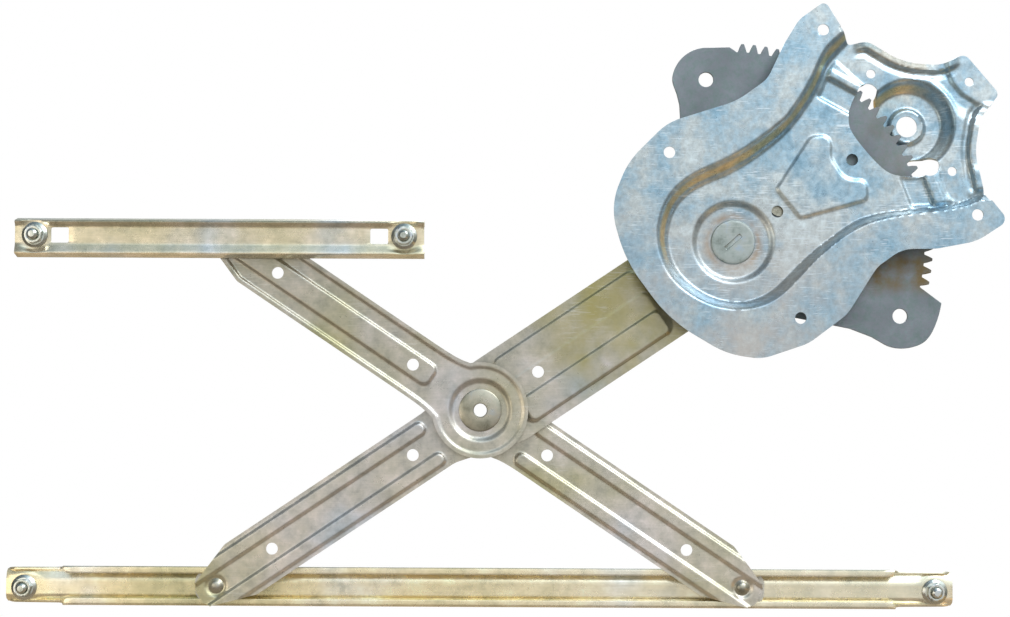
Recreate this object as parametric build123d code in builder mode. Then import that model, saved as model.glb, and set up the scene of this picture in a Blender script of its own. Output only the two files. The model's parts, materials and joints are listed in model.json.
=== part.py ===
"""Scissor-arm window regulator for a front car door, electric type without its motor.

X runs along the door, Z is up, and the inner door panel lies on Y = 0 with the cabin on
the -Y side. The origin is midway between the door bolt holes 1 and 3 of the base plate.
"""
from build123d import *
from math import cos, degrees, pi, radians, sin
import os

os.makedirs("parts", exist_ok=True)

# ---------------------------------------------------------------- driving dimensions
# linkage
PIVOT = (-53.0, -34.6)          # main pivot, from the origin in X and Z
UPPER_LINK = 183.6              # main pivot to scissor centre, and centre to upper pin
LOWER_LINK = 191.5              # scissor centre to each glass rail pin
ARM_SLOPE = 33.85               # lift arm below the horizontal as supplied, degrees

# stock thicknesses
PLATE = 1.6
ARM_SHEET = 2.0
GEAR_SHEET = 2.5
RAIL_SHEET = 1.5

# depths behind the door panel
RECESS = 10.0                   # front face of the base plate's recessed floor
PIVOT_SEAT = 12.2               # front face of the seat round the main pivot
PIVOT_SEAT_R = 21.0
FRONT_WASHER = 0.6              # thrust washer between seat and sector gear
FRONT_WASHER_R = 20.0
REAR_WASHER = 0.8
REAR_WASHER_R = 15.0
BOWL = 19.5                     # front face of the pinion bearing bowl
SLOPE = 33.0                    # slope of the pressed walls, degrees

# sector gear
MODULE = 2.25
GEAR_TEETH = 106                # on the full circle
CUT_TEETH = 30                  # teeth that the sector carries
PINION_TEETH = 8                # pinion of the motor that drives it
SECTOR_AXIS = 37.8              # middle of the toothed stretch as supplied, degrees
SHAFT_ANGLE = 33.86             # pinion shaft seen from the main pivot, degrees
SHAFT_BORE = 12.8               # diameter of the pinion's outboard bearing

# door bolts: two pairs of holes
DOOR_HOLE = 7.0
PAIR_A = (0.0, 0.0, 188.4, -11.3)      # middle X, middle Z, distance, angle
PAIR_B = (-6.8, 6.1, 174.4, 85.4)

# motor screws
MOTOR_HOLE = 5.6
MOTOR_PAIR = (54.9, 38.4, 76.8, -50.4)
MOTOR_THIRD = (90.0, 63.3)

# arms
ARM_WIDTH = 36.0
BEAD = 1.4                      # depth of the pressed stiffening beads
DISH = 2.4                      # how far each cross arm half is dished onto its washer
DIMPLE = 1.1                    # depth of the dimples that sink the slider pins' heads
DISC = 29.0                     # radius of the discs at the scissor centre

# pivots
STUD_R = 8.0                    # main pivot shank
BUSH_R = 10.0                   # outside of the main pivot's bush
CENTRE_R = 8.0                  # hollow centre rivet shank
CENTRE_BORE = 4.0
PIN_R = 4.0                     # slider pins
FIT = 0.05                      # radial running clearance
PLAY = 0.3                      # side play between faces that slide on each other

# rails
RAIL_HEIGHT = 24.4              # over the lips
WEB_HEIGHT = 19.8               # the web, where the sloped flanges start
UPPER_RAIL_LENGTH = 246.0
UPPER_RAIL_MIDDLE = -362.5
UPPER_RAIL_Z = -34.0
UPPER_STRIP_RISE = 1.2          # its strip and studs above its middle
UPPER_STUD_SPACING = 222.0
RAIL_DEPTH = 10.0               # web to lips, both rails
GLASS_RAIL_LENGTH = 578.0
GLASS_RAIL_MIDDLE = -206.0
GLASS_STUD_SPACING = 556.0
GLASS_LIP_LENGTH = 503.0
GLASS_RAIL_FRONT = 26.0
STRIP = 10.4                    # middle strip of the web, pressed into the channel
STRIP_DEPTH = 2.0
LIP = 4.6                       # height of an in-turned lip with its flange
GLASS_DROP = 1.0                # glass rail's middle below its slider pins
GLASS_STRIP_DROP = 1.8          # its strip and studs below its middle
STUD = 6.0                      # M6 weld studs
STUD_POINT = 5.2                # diameter of their free ends
NUT_FLATS = 10.0
NUT_HEIGHT = 6.0
NUT_FLANGE = 15.6

# ---------------------------------------------------------------- what follows from them
slope = radians(ARM_SLOPE)
centre = (PIVOT[0] - UPPER_LINK * cos(slope), PIVOT[1] - UPPER_LINK * sin(slope))
upper_pin = (centre[0] - UPPER_LINK * cos(slope), PIVOT[1])
left_pin = (centre[0] - LOWER_LINK * cos(slope), centre[1] - LOWER_LINK * sin(slope))
right_pin = (centre[0] + LOWER_LINK * cos(slope), left_pin[1])

glass_z = left_pin[1] - GLASS_DROP
glass_back = GLASS_RAIL_FRONT + RAIL_DEPTH
gear_front = PIVOT_SEAT + PLATE + FRONT_WASHER
lift_front = gear_front + GEAR_SHEET
lift_back = lift_front + ARM_SHEET
washer = 1.2                                    # scissor washers
upper_seat = lift_front - washer - ARM_SHEET    # front of the upper half's dished seat
upper_front = upper_seat - DISH                 # front of the upper half's sheet
lower_seat = lift_back + washer                 # front of the lower half's dished seat
lower_front = lower_seat + DISH                 # front of the lower half's sheet

pitch_r = MODULE * GEAR_TEETH / 2
tip_r = pitch_r + MODULE
root_r = pitch_r - 1.25 * MODULE
shaft_distance = MODULE * (GEAR_TEETH + PINION_TEETH) / 2
shaft = (PIVOT[0] + shaft_distance * cos(radians(SHAFT_ANGLE)),
         PIVOT[1] + shaft_distance * sin(radians(SHAFT_ANGLE)))
wall = PLATE / cos(radians(SLOPE))              # a sloped wall's thickness, level
seat_mouth = PIVOT_SEAT_R + PIVOT_SEAT - RECESS


def at(depth):
    """Upright plane at this depth, facing the cabin: x is X and y is Z."""
    return Plane.XZ.offset(-depth)


def arm_plane(origin, angle, depth):
    """Upright plane facing the cabin, with x turned to this angle about the origin."""
    a = radians(angle)
    return Plane(origin=(origin[0], depth, origin[1]), x_dir=(cos(a), 0, sin(a)),
                 z_dir=(0, -1, 0))


def turning(origin):
    """Plane for a turned profile: x is the radius and y is the depth."""
    return Plane(origin=(origin[0], 0, origin[1]), x_dir=(1, 0, 0), z_dir=(0, 0, 1))


def axis_at(origin):
    return Axis((origin[0], 0, origin[1]), (0, 1, 0))


def pair(middle_x, middle_z, distance, angle):
    """The two points of a hole pair."""
    dx = distance / 2 * cos(radians(angle))
    dz = distance / 2 * sin(radians(angle))
    return [(middle_x - dx, middle_z - dz), (middle_x + dx, middle_z + dz)]


def save(part, label):
    part.label = label
    export_step(part, f"parts/{label}.step")


door_holes = pair(*PAIR_A) + pair(*PAIR_B)
motor_holes = pair(*MOTOR_PAIR) + [MOTOR_THIRD]

# ---------------------------------------------------------------- base plate
# outline corners with the radius that rounds each, clockwise from the top lobe
OUTLINE = [
    ((-14.5, 99.0), 18), ((1.2, 110.5), 3.5), ((16.8, 85.4), 2), ((28.0, 87.5), 10),
    ((50.0, 74.2), 45), ((74.0, 73.2), 30), ((87.3, 80.6), 5), ((108.2, 56.0), 4),
    ((96.0, 41.0), 25), ((92.6, 20.0), 40), ((98.4, -6.5), 6), ((110.8, -21.8), 5),
    ((92.0, -34.2), 30), ((68.0, -38.8), 25), ((47.0, -39.2), 22), ((32.0, -50.0), 20),
    ((14.0, -78.5), 25), ((-9.0, -96.0), 30), ((-37.0, -105.5), 25), ((-58.0, -102.5), 18),
    ((-92.0, -82.5), 40), ((-118.5, -47.0), 15), ((-128.0, -14.0), 14), ((-117.0, 13.0), 18),
    ((-93.5, 36.5), 12), ((-52.0, 49.6), 20), ((-33.5, 63.0), 18), ((-23.0, 85.0), 25),
]
# the recess is a disc round the main pivot that opens out to the motor's corner
RECESS_R = 46.5
RECESS_EDGE = [
    ((-76.0, 8.5), 15), ((-46.0, 23.5), 30), ((-24.5, 39.0), 30), ((-7.5, 66.5), 40),
    ((10.0, 91.5), 20), ((30.0, 112.0), 5), ((130.0, 112.0), 5), ((130.0, 2.0), 5),
    ((95.0, -9.0), 20), ((53.0, -18.4), 60), ((27.0, -24.5), 30), ((4.5, -38.5), 40),
    ((-24.0, -69.0), 8), (PIVOT, 5),
]
BOWL_MOUTH = 28.0
BOWL_FLOOR = 20.7
COLLAR = 11.4
COLLAR_RISE = 2.0
# three-cornered emboss on the recessed floor, and two tooling holes beside it
EMBOSS = [((-27.0, -2.5), 2), ((-6.0, 29.8), 6), ((6.2, 30.2), 6), ((6.0, 16.5), 9),
          ((14.5, 3.2), 12), ((27.6, 3.4), 5), ((28.0, -8.8), 4), ((-12.6, -20.2), 2.5)]
EMBOSS_RISE = 1.1
TOOLING_HOLE = 7.2
TOOLING_HOLES = ((18.9, 15.6), (-26.4, -16.1))
# opening through which the sector reaches the pinion
WINDOW = [((21.9, 60.0), 6), ((16.0, 43.0), 14), ((25.5, 19.5), 16), ((45.0, 5.0), 10),
          ((70.0, 4.5), 6), ((70.0, 18.0), 4), ((53.9, 36.7), 4), ((33.0, 62.5), 5)]


def rounded(corners):
    """Closed outline with each corner rounded by its own radius."""
    return FilletPolyline(*[p for p, r in corners], radius=[r for p, r in corners], close=True)


with BuildPart() as base_plate:
    with BuildSketch(at(0)):
        with BuildLine():
            rounded(OUTLINE)
        make_face()
    extrude(amount=-PLATE)
    # tub behind the rim
    with BuildSketch(at(0)):
        with BuildLine():
            rounded(RECESS_EDGE)
        make_face()
        with Locations(PIVOT):
            Circle(RECESS_R)
        offset(amount=wall)
    extrude(amount=-(RECESS + PLATE), taper=SLOPE)
    with BuildSketch(at(0)):
        with BuildLine():
            rounded(RECESS_EDGE)
        make_face()
        with Locations(PIVOT):
            Circle(RECESS_R)
    extrude(amount=-RECESS, taper=SLOPE, mode=Mode.SUBTRACT)
    # seat round the main pivot
    with BuildSketch(turning(PIVOT)):
        with BuildLine():
            Polyline((0, RECESS + PLATE / 2), (seat_mouth + wall, RECESS + PLATE / 2),
                     (PIVOT_SEAT_R + wall, PIVOT_SEAT + PLATE), (0, PIVOT_SEAT + PLATE),
                     close=True)
        make_face()
    revolve(axis=axis_at(PIVOT))
    with BuildSketch(turning(PIVOT)):
        with BuildLine():
            Polyline((0, RECESS), (seat_mouth + PIVOT_SEAT - RECESS, RECESS),
                     (PIVOT_SEAT_R, PIVOT_SEAT), (0, PIVOT_SEAT), close=True)
        make_face()
    revolve(axis=axis_at(PIVOT), mode=Mode.SUBTRACT)
    # emboss towards the cabin
    with BuildSketch(at(RECESS + PLATE / 2)) as emboss:
        with BuildLine():
            rounded(EMBOSS)
        make_face()
    extrude(emboss.sketch, amount=EMBOSS_RISE + PLATE / 2, taper=35)
    with BuildSketch(at(RECESS + PLATE)) as pocket:
        add(emboss.sketch)
        offset(amount=-0.6, mode=Mode.REPLACE)
    extrude(pocket.sketch, amount=EMBOSS_RISE, taper=35, mode=Mode.SUBTRACT)
    # sector window and the bearing bowl behind it
    with BuildSketch(at(RECESS)):
        with BuildLine():
            rounded(WINDOW)
        make_face()
        with Locations(shaft):
            Circle(BOWL_MOUTH)
    extrude(amount=-PLATE, mode=Mode.SUBTRACT)
    with BuildSketch(turning(shaft)):
        with BuildLine():
            Polyline((0, BOWL), (BOWL_FLOOR, BOWL), (BOWL_MOUTH, RECESS), (BOWL_MOUTH + wall, RECESS),
                     (BOWL_MOUTH + wall, RECESS + PLATE), (BOWL_FLOOR + PLATE, BOWL + PLATE),
                     (0, BOWL + PLATE), close=True)
        make_face()
    revolve(axis=axis_at(shaft))
    with BuildSketch(turning(shaft)):
        with BuildLine():
            Polyline((0, BOWL - COLLAR_RISE), (COLLAR - COLLAR_RISE, BOWL - COLLAR_RISE),
                     (COLLAR, BOWL), (0, BOWL), close=True)
        make_face()
    revolve(axis=axis_at(shaft))
    with BuildSketch(turning(shaft)):
        with BuildLine():
            Polyline((0, BOWL + PLATE - COLLAR_RISE),
                     (COLLAR - COLLAR_RISE - PLATE, BOWL + PLATE - COLLAR_RISE),
                     (COLLAR - PLATE, BOWL + PLATE), (0, BOWL + PLATE), close=True)
        make_face()
    revolve(axis=axis_at(shaft), mode=Mode.SUBTRACT)
    # room for the sector to sweep through the bowl's near wall
    with BuildSketch(at(RECESS)):
        with Locations(PIVOT):
            Circle(tip_r + 1.5)
            Circle(shaft_distance - BOWL_MOUTH - 6, mode=Mode.SUBTRACT)
        with BuildLine():
            rounded(WINDOW)
        make_face(mode=Mode.INTERSECT)
    extrude(amount=-(BOWL - RECESS), mode=Mode.SUBTRACT)
    # trim the tub to the outline
    with BuildSketch(at(0)):
        Rectangle(500, 500)
        with BuildLine():
            rounded(OUTLINE)
        make_face(mode=Mode.SUBTRACT)
    extrude(amount=-40, mode=Mode.SUBTRACT)
    # holes
    with BuildSketch(at(0)):
        with Locations(*door_holes):
            Circle(DOOR_HOLE / 2)
        with Locations(*motor_holes):
            Circle(MOTOR_HOLE / 2)
        with Locations(*TOOLING_HOLES):
            Circle(TOOLING_HOLE / 2)
        with Locations(shaft):
            Circle(SHAFT_BORE / 2)
        with Locations(PIVOT):
            Circle(STUD_R)
    extrude(amount=-40, mode=Mode.SUBTRACT)
save(base_plate.part, "base_plate")


# ---------------------------------------------------------------- main pivot
HEAD_R = 13.5
HEAD_T = 1.7
REAR_HEAD_T = 1.0
rear = lift_back + REAR_WASHER
with BuildPart() as pivot_stud:
    with BuildSketch(turning(PIVOT)):
        with BuildLine():
            Polyline((0, PIVOT_SEAT - HEAD_T), (HEAD_R - 1.5, PIVOT_SEAT - HEAD_T),
                     (HEAD_R, PIVOT_SEAT - HEAD_T + 1), (HEAD_R, PIVOT_SEAT),
                     (STUD_R, PIVOT_SEAT), (STUD_R, rear), (HEAD_R - 3, rear),
                     (HEAD_R - 3.5, rear + REAR_HEAD_T), (0, rear + REAR_HEAD_T), close=True)
        make_face()
    revolve(axis=axis_at(PIVOT))
save(pivot_stud.part, "pivot_stud")

with BuildPart() as pivot_front_washer:
    with BuildSketch(at(gear_front)):
        with Locations(PIVOT):
            Circle(FRONT_WASHER_R)
            Circle(STUD_R + FIT, mode=Mode.SUBTRACT)
    extrude(amount=FRONT_WASHER)
save(pivot_front_washer.part, "pivot_front_washer")

with BuildPart() as pivot_bush:
    with BuildSketch(at(lift_back)):
        with Locations(PIVOT):
            Circle(BUSH_R)
            Circle(STUD_R + FIT, mode=Mode.SUBTRACT)
    extrude(amount=GEAR_SHEET + ARM_SHEET)
save(pivot_bush.part, "pivot_bush")

with BuildPart() as pivot_rear_washer:
    with BuildSketch(at(rear)):
        with Locations(PIVOT):
            Circle(REAR_WASHER_R)
            Circle(STUD_R + FIT, mode=Mode.SUBTRACT)
    extrude(amount=REAR_WASHER)
save(pivot_rear_washer.part, "pivot_rear_washer")

# ---------------------------------------------------------------- sector gear
HUB_R = 45.0
LOBE_AT = 61.4                   # lobes beyond the teeth, from the sector's middle
LOBE_REACH = (100.7, 110.5)     # their holes from the pivot, upper and lower
LOBE_HOLE = 9.0
# outline of each lobe from the last tooth round: reach from the pivot, angle from the middle
UPPER_LOBE = ((119.3, 53.0), (119.8, 59.0), (119.2, 64.6), (115.9, 68.1), (111.7, 70.5),
              (107.6, 72.0), (102.8, 72.7), (96.9, 72.7), (90.0, 73.2), (82.8, 74.8))
LOWER_LOBE = ((131.5, -53.8), (132.1, -56.8), (132.3, -59.6), (131.9, -62.7), (130.5, -65.0),
              (126.5, -67.5), (120.5, -69.8), (114.9, -71.1), (109.6, -71.6), (101.6, -71.9),
              (88.0, -74.0))
RIVET_CIRCLE = 36.0
RIVET_R = 4.0
RIVET_HEAD_R = 6.0
RIVET_HEAD = 1.2
tooth_pitch = 360 / GEAR_TEETH


def polar(radius, angle):
    return (radius * cos(radians(angle)), radius * sin(radians(angle)))


tooth_half = degrees(pi * MODULE / 4 / pitch_r)         # half a tooth at the pitch circle
toothed = CUT_TEETH * tooth_pitch / 2
lobes = [polar(LOBE_REACH[0], LOBE_AT), polar(LOBE_REACH[1], -LOBE_AT)]
with BuildSketch() as tooth:
    with BuildLine():
        Polyline(polar(root_r - 0.5, -1.6 * tooth_half), polar(root_r, -1.55 * tooth_half),
                 polar(pitch_r, -tooth_half), polar(tip_r, -0.45 * tooth_half),
                 polar(tip_r, 0.45 * tooth_half), polar(pitch_r, tooth_half),
                 polar(root_r, 1.55 * tooth_half), polar(root_r - 0.5, 1.6 * tooth_half),
                 close=True)
    make_face()
with BuildPart() as sector_gear:
    with BuildSketch(arm_plane(PIVOT, SECTOR_AXIS, lift_front)):
        Circle(HUB_R)
        with BuildLine():
            edge = CenterArc((0, 0), root_r, -toothed, 2 * toothed)
            upper = Spline(*[polar(*point) for point in UPPER_LOBE[1:7]])
            lower = Spline(*[polar(*point) for point in LOWER_LOBE[:9]])
            Polyline(edge @ 1, polar(*UPPER_LOBE[0]), upper @ 0)
            Polyline(upper @ 1, *[polar(*point) for point in UPPER_LOBE[7:]],
                     polar(HUB_R, 105), polar(HUB_R, -105),
                     *[polar(*point) for point in LOWER_LOBE[:8:-1]], lower @ 1)
            Line(lower @ 0, edge @ 0)
        make_face()
        with PolarLocations(0, CUT_TEETH, tooth_pitch / 2 - toothed, 2 * toothed - tooth_pitch,
                            endpoint=True):
            add(tooth.sketch)
        Circle(BUSH_R, mode=Mode.SUBTRACT)
        with Locations(*lobes):
            Circle(LOBE_HOLE / 2, mode=Mode.SUBTRACT)
        with PolarLocations(RIVET_CIRCLE, 4):
            Circle(RIVET_R, mode=Mode.SUBTRACT)
    extrude(amount=GEAR_SHEET)
save(sector_gear.part, "sector_gear")

with BuildPart() as gear_rivets:
    with BuildSketch(arm_plane(PIVOT, SECTOR_AXIS, lift_back + RIVET_HEAD)):
        with PolarLocations(RIVET_CIRCLE, 4):
            Circle(RIVET_HEAD_R)
    extrude(amount=RIVET_HEAD)
    with BuildSketch(arm_plane(PIVOT, SECTOR_AXIS, lift_back)):
        with PolarLocations(RIVET_CIRCLE, 4):
            Circle(RIVET_R)
    extrude(amount=GEAR_SHEET + ARM_SHEET)
    with BuildSketch(arm_plane(PIVOT, SECTOR_AXIS, gear_front)):
        with PolarLocations(RIVET_CIRCLE, 4):
            Circle(RIVET_HEAD_R)
    extrude(amount=RIVET_HEAD)
save(gear_rivets.part, "gear_rivets")

# ---------------------------------------------------------------- arms
DIMPLE_R = 6.5
HOLE_R = 3.6
FIRST_HOLE = 49.0               # lightening holes, from the scissor centre
LAST_HOLE = 151.0
UPPER_LAST_HOLE = 148.0
BEAD_WIDTH = 8.0
BEAD_OFFSET = 11.0
BEAD_START = 34.0
BEAD_END = 16.0                 # from a bead's end to its slider pin
BEAD_SLOPE = 35.0               # slope of the beads' sides
WIDE_BEADS = ((-12.6, 15.6), (15.8, 15.6))      # offset and width of the lift arm's two
WIDE_SPAN = (58.0, 163.0)
lift_angle = 180 + ARM_SLOPE
half = ARM_WIDTH / 2
narrow_end = UPPER_LINK + LOWER_LINK


def bead(origin, angle, front, span, offset, width, forward, mode):
    """Long bead: a ridge added to one face of the sheet, or the pocket behind it taken away."""
    ridge = mode == Mode.ADD
    depth = front if ridge == forward else front + ARM_SHEET
    grow = 1.0 if ridge else 0
    with BuildSketch(arm_plane(origin, angle, depth)) as slots:
        with Locations(((span[0] + span[1]) / 2, offset)):
            SlotOverall(span[1] - span[0] + 2 * grow, width + 2 * grow)
    extrude(slots.sketch, amount=BEAD if forward else -BEAD, taper=BEAD_SLOPE, mode=mode)


def dimple(plane, reach):
    """Round dimple that sinks a slider pin's head into the sheet."""
    with BuildSketch(plane.offset(-ARM_SHEET)) as back:
        with Locations((reach, 0)):
            Circle(DIMPLE_R + 1)
    extrude(back.sketch, amount=-DIMPLE, taper=20)
    with BuildSketch(plane) as front:
        with Locations((reach, 0)):
            Circle(DIMPLE_R)
    extrude(front.sketch, amount=-DIMPLE, taper=20, mode=Mode.SUBTRACT)


def tip(reach):
    """Corners of an arm's snub end round its slider pin, anticlockwise."""
    return [((reach - 18, -half), 5), ((reach + 8.4, -8.6), 3.5), ((reach + 12, -4.5), 3.5),
            ((reach + 12, 4.5), 3.5), ((reach + 8.4, 8.6), 3.5), ((reach - 18, half), 5)]


with BuildPart() as lift_arm:
    with BuildSketch(arm_plane(PIVOT, lift_angle, lift_back)):
        with BuildLine():
            rounded([((-24, 30), 24), ((-24, -26.5), 24), ((UPPER_LINK - 12, -26.5), 20),
                     ((UPPER_LINK + 30, -half), 20)] + tip(narrow_end)
                    + [((UPPER_LINK + 30, half), 20), ((UPPER_LINK - 12, 30), 20)])
        make_face()
    extrude(amount=ARM_SHEET)
    for mode in (Mode.ADD, Mode.SUBTRACT):
        for offset, width in WIDE_BEADS:
            bead(PIVOT, lift_angle, lift_front, WIDE_SPAN, offset, width, True, mode)
        for offset in (-BEAD_OFFSET, BEAD_OFFSET):
            bead(PIVOT, lift_angle, lift_front, (UPPER_LINK + BEAD_START, narrow_end - BEAD_END),
                 offset, BEAD_WIDTH, True, mode)
    dimple(arm_plane(PIVOT, lift_angle, lift_front), narrow_end)
    with BuildSketch(arm_plane(PIVOT, lift_angle, lift_back + 5)):
        Circle(BUSH_R)
        with Locations((UPPER_LINK, 0)):
            Circle(CENTRE_R + FIT)
        with Locations((UPPER_LINK - 42, 0), (UPPER_LINK + FIRST_HOLE, 0),
                       (UPPER_LINK + LAST_HOLE, 0)):
            Circle(HOLE_R)
        with Locations((narrow_end, 0)):
            Circle(PIN_R)
    extrude(amount=10, mode=Mode.SUBTRACT)
    with BuildSketch(arm_plane(PIVOT, SECTOR_AXIS, lift_back)):
        with PolarLocations(RIVET_CIRCLE, 4):
            Circle(RIVET_R)
    extrude(amount=ARM_SHEET, mode=Mode.SUBTRACT)
save(lift_arm.part, "lift_arm")


def half_arm(front, reach, angle, forward, last_hole):
    """One half of the cross arm: a beaded strip from the disc out to its slider pin."""
    with BuildSketch(arm_plane(centre, angle, front + ARM_SHEET)) as strip:
        with BuildLine():
            rounded([((0, -half), 0)] + tip(reach) + [((0, half), 0)])
        make_face()
        Circle(DISC - 4, mode=Mode.SUBTRACT)
    extrude(strip.sketch, amount=ARM_SHEET)
    for mode in (Mode.ADD, Mode.SUBTRACT):
        for offset in (-BEAD_OFFSET, BEAD_OFFSET):
            bead(centre, angle, front, (BEAD_START, reach - BEAD_END), offset, BEAD_WIDTH, forward,
                 mode)
    with BuildSketch(arm_plane(centre, angle, front + ARM_SHEET + 5)) as holes:
        with Locations((reach, 0)):
            Circle(PIN_R)
        with Locations((FIRST_HOLE, 0), (last_hole, 0)):
            Circle(HOLE_R)
    extrude(holes.sketch, amount=10, mode=Mode.SUBTRACT)


SEAT_R = 14.0                   # flat of the dished seat round the centre rivet
DISH_R = 19.4
DISC_RIM = 3.6                  # width of the upper disc's rim, which stands forward
RIM_RISE = 0.6
with BuildPart() as cross_arm_upper:
    # disc dished back to its washer, with a raised rim
    with BuildSketch(turning(centre)):
        with BuildLine():
            Polyline((CENTRE_R, upper_seat), (SEAT_R, upper_seat), (DISH_R, upper_front + RIM_RISE),
                     (DISC - DISC_RIM, upper_front + RIM_RISE),
                     (DISC - DISC_RIM + RIM_RISE, upper_front), (DISC, upper_front),
                     (DISC, upper_front + ARM_SHEET),
                     (DISC - DISC_RIM, upper_front + ARM_SHEET + RIM_RISE),
                     (DISH_R + 1, upper_front + ARM_SHEET + RIM_RISE),
                     (SEAT_R + 1, upper_seat + ARM_SHEET), (CENTRE_R, upper_seat + ARM_SHEET),
                     close=True)
        make_face()
    revolve(axis=axis_at(centre))
    half_arm(upper_front, UPPER_LINK, 180 - ARM_SLOPE, False, UPPER_LAST_HOLE)
save(cross_arm_upper.part, "cross_arm_upper")

with BuildPart() as cross_arm_lower:
    # disc dished forward to its washer
    with BuildSketch(turning(centre)):
        with BuildLine():
            Polyline((CENTRE_R, lower_seat), (SEAT_R + 1, lower_seat), (DISH_R + 1, lower_front),
                     (DISC, lower_front), (DISC, lower_front + ARM_SHEET),
                     (DISH_R, lower_front + ARM_SHEET), (SEAT_R, lower_seat + ARM_SHEET),
                     (CENTRE_R, lower_seat + ARM_SHEET), close=True)
        make_face()
    revolve(axis=axis_at(centre))
    half_arm(lower_front, LOWER_LINK, -ARM_SLOPE, True, LAST_HOLE)
    dimple(arm_plane(centre, -ARM_SLOPE, lower_front), LOWER_LINK)
    with BuildSketch(arm_plane(centre, -ARM_SLOPE, lower_front + ARM_SHEET + DIMPLE)):
        with Locations((LOWER_LINK, 0)):
            Circle(PIN_R)
    extrude(amount=ARM_SHEET + DIMPLE, mode=Mode.SUBTRACT)
save(cross_arm_lower.part, "cross_arm_lower")

# ---------------------------------------------------------------- scissor centre
CENTRE_HEAD = 12.9
with BuildPart() as centre_rivet:
    with BuildSketch(turning(centre)):
        with BuildLine():
            Polyline((CENTRE_BORE, upper_seat - 1.6), (CENTRE_HEAD - 1.2, upper_seat - 1.6),
                     (CENTRE_HEAD, upper_seat - 0.8), (CENTRE_HEAD, upper_seat),
                     (CENTRE_R, upper_seat), (CENTRE_R, lower_seat + ARM_SHEET),
                     (CENTRE_HEAD - 1, lower_seat + ARM_SHEET),
                     (CENTRE_HEAD - 1.8, lower_seat + ARM_SHEET + 1.4),
                     (CENTRE_BORE, lower_seat + ARM_SHEET + 1.4), close=True)
        make_face()
    revolve(axis=axis_at(centre))
save(centre_rivet.part, "centre_rivet")

for label, back in {"centre_front_washer": lift_front, "centre_rear_washer": lower_seat}.items():
    with BuildPart() as centre_washer:
        with BuildSketch(at(back)):
            with Locations(centre):
                Circle(SEAT_R)
                Circle(CENTRE_R + FIT, mode=Mode.SUBTRACT)
        extrude(amount=washer)
    save(centre_washer.part, label)

# ---------------------------------------------------------------- slider pins and shoes
SHOE_LENGTH = 28.0
SHOE_RADIUS = 6.0
COLLAR_R = 6.3
PIN_HEAD_R = 5.5
shoe_height = WEB_HEIGHT - RAIL_SHEET - PLAY
# label: pin place, front of its arm's sheet, depth of the dimple there, span of the shoe
# inside the rail, and how far the shoe's middle lies below the pin
upper_cavity = (STRIP_DEPTH + RAIL_SHEET + PLAY, RAIL_DEPTH - RAIL_SHEET - PLAY)
glass_cavity = (GLASS_RAIL_FRONT + RAIL_SHEET + PLAY, glass_back - STRIP_DEPTH - RAIL_SHEET - PLAY)
SLIDERS = {
    "upper": (upper_pin, upper_front, 0, upper_cavity, PIVOT[1] - UPPER_RAIL_Z),
    "left": (left_pin, lift_front, DIMPLE, glass_cavity, GLASS_DROP),
    "right": (right_pin, lower_front, DIMPLE, glass_cavity, GLASS_DROP),
}
for label, (place, sheet, sunk, (shoe_front, shoe_back), drop) in SLIDERS.items():
    seat = sheet + sunk                         # what the pin's head or its tail bears on
    forward = shoe_front < sheet                # the shoe lies in front of its arm
    if forward:
        collar = (shoe_back, sheet - PLAY)
        shank = (shoe_front + 0.6, seat + ARM_SHEET)
        head = (seat + ARM_SHEET, seat + ARM_SHEET + 1.1)
    else:
        collar = (seat + ARM_SHEET + PLAY, shoe_front)
        shank = (seat, shoe_back - 0.6)
        head = (seat - 1.1, seat)
    with BuildPart() as slider_pin:
        with BuildSketch(at(shank[1])):
            with Locations(place):
                Circle(PIN_R)
        extrude(amount=shank[1] - shank[0])
        with BuildSketch(at(head[1])):
            with Locations(place):
                Circle(PIN_HEAD_R)
        extrude(amount=head[1] - head[0])
        chamfer(slider_pin.faces().sort_by(Axis.Y)[-1 if forward else 0].edges(), 0.6)
    save(slider_pin.part, f"{label}_slider_pin")
    with BuildPart() as slider:
        with BuildSketch(at(shoe_back)):
            with Locations((place[0], place[1] - drop)):
                RectangleRounded(SHOE_LENGTH, shoe_height, SHOE_RADIUS)
        extrude(amount=shoe_back - shoe_front)
        with BuildSketch(at(collar[1])):
            with Locations(place):
                Circle(COLLAR_R)
        extrude(amount=collar[1] - collar[0])
        with BuildSketch(at(max(collar[1], shoe_back))):
            with Locations(place):
                Circle(PIN_R + FIT)
        extrude(amount=60, mode=Mode.SUBTRACT)
    save(slider.part, f"{label}_slider")

# ---------------------------------------------------------------- rails
WEB_LAND = 0.6                  # flat edge of the web either side of its strip
SLOT = (10.8, 9.3)
SLOT_SPACING = 192.0
END_FLANGE = 5.0                # flange depth left at the glass rail's ends
END_RADIUS = 6.0
h = RAIL_HEIGHT / 2


def rail_section(x, z, outer, inward, strip_drop):
    """Cross-section of a rail at its left end; outer is its web's depth behind the panel and
    inward is +1 where the channel opens to the rear, -1 where it opens to the cabin."""
    t = RAIL_SHEET
    w = WEB_HEIGHT / 2
    profile = Plane(origin=(x, outer, z), x_dir=(0, inward, 0), z_dir=(inward, 0, 0))
    with BuildSketch(profile) as section:
        for side in (-1, 1):
            edge = side * STRIP / 2 - strip_drop
            middle = -strip_drop
            with BuildLine():
                Polyline((STRIP_DEPTH, middle), (STRIP_DEPTH, edge), (0, side * (w - WEB_LAND)),
                         (0, side * w), (RAIL_DEPTH, side * h), (RAIL_DEPTH, side * (h - LIP)),
                         (RAIL_DEPTH - t, side * (h - LIP)), (RAIL_DEPTH - t, side * (h - 1.2 * t)),
                         (t, side * (w - 0.8 * t)), (STRIP_DEPTH + t, edge + 0.3 * side * t),
                         (STRIP_DEPTH + t, middle), close=True)
            make_face()
    return section.sketch


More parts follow.
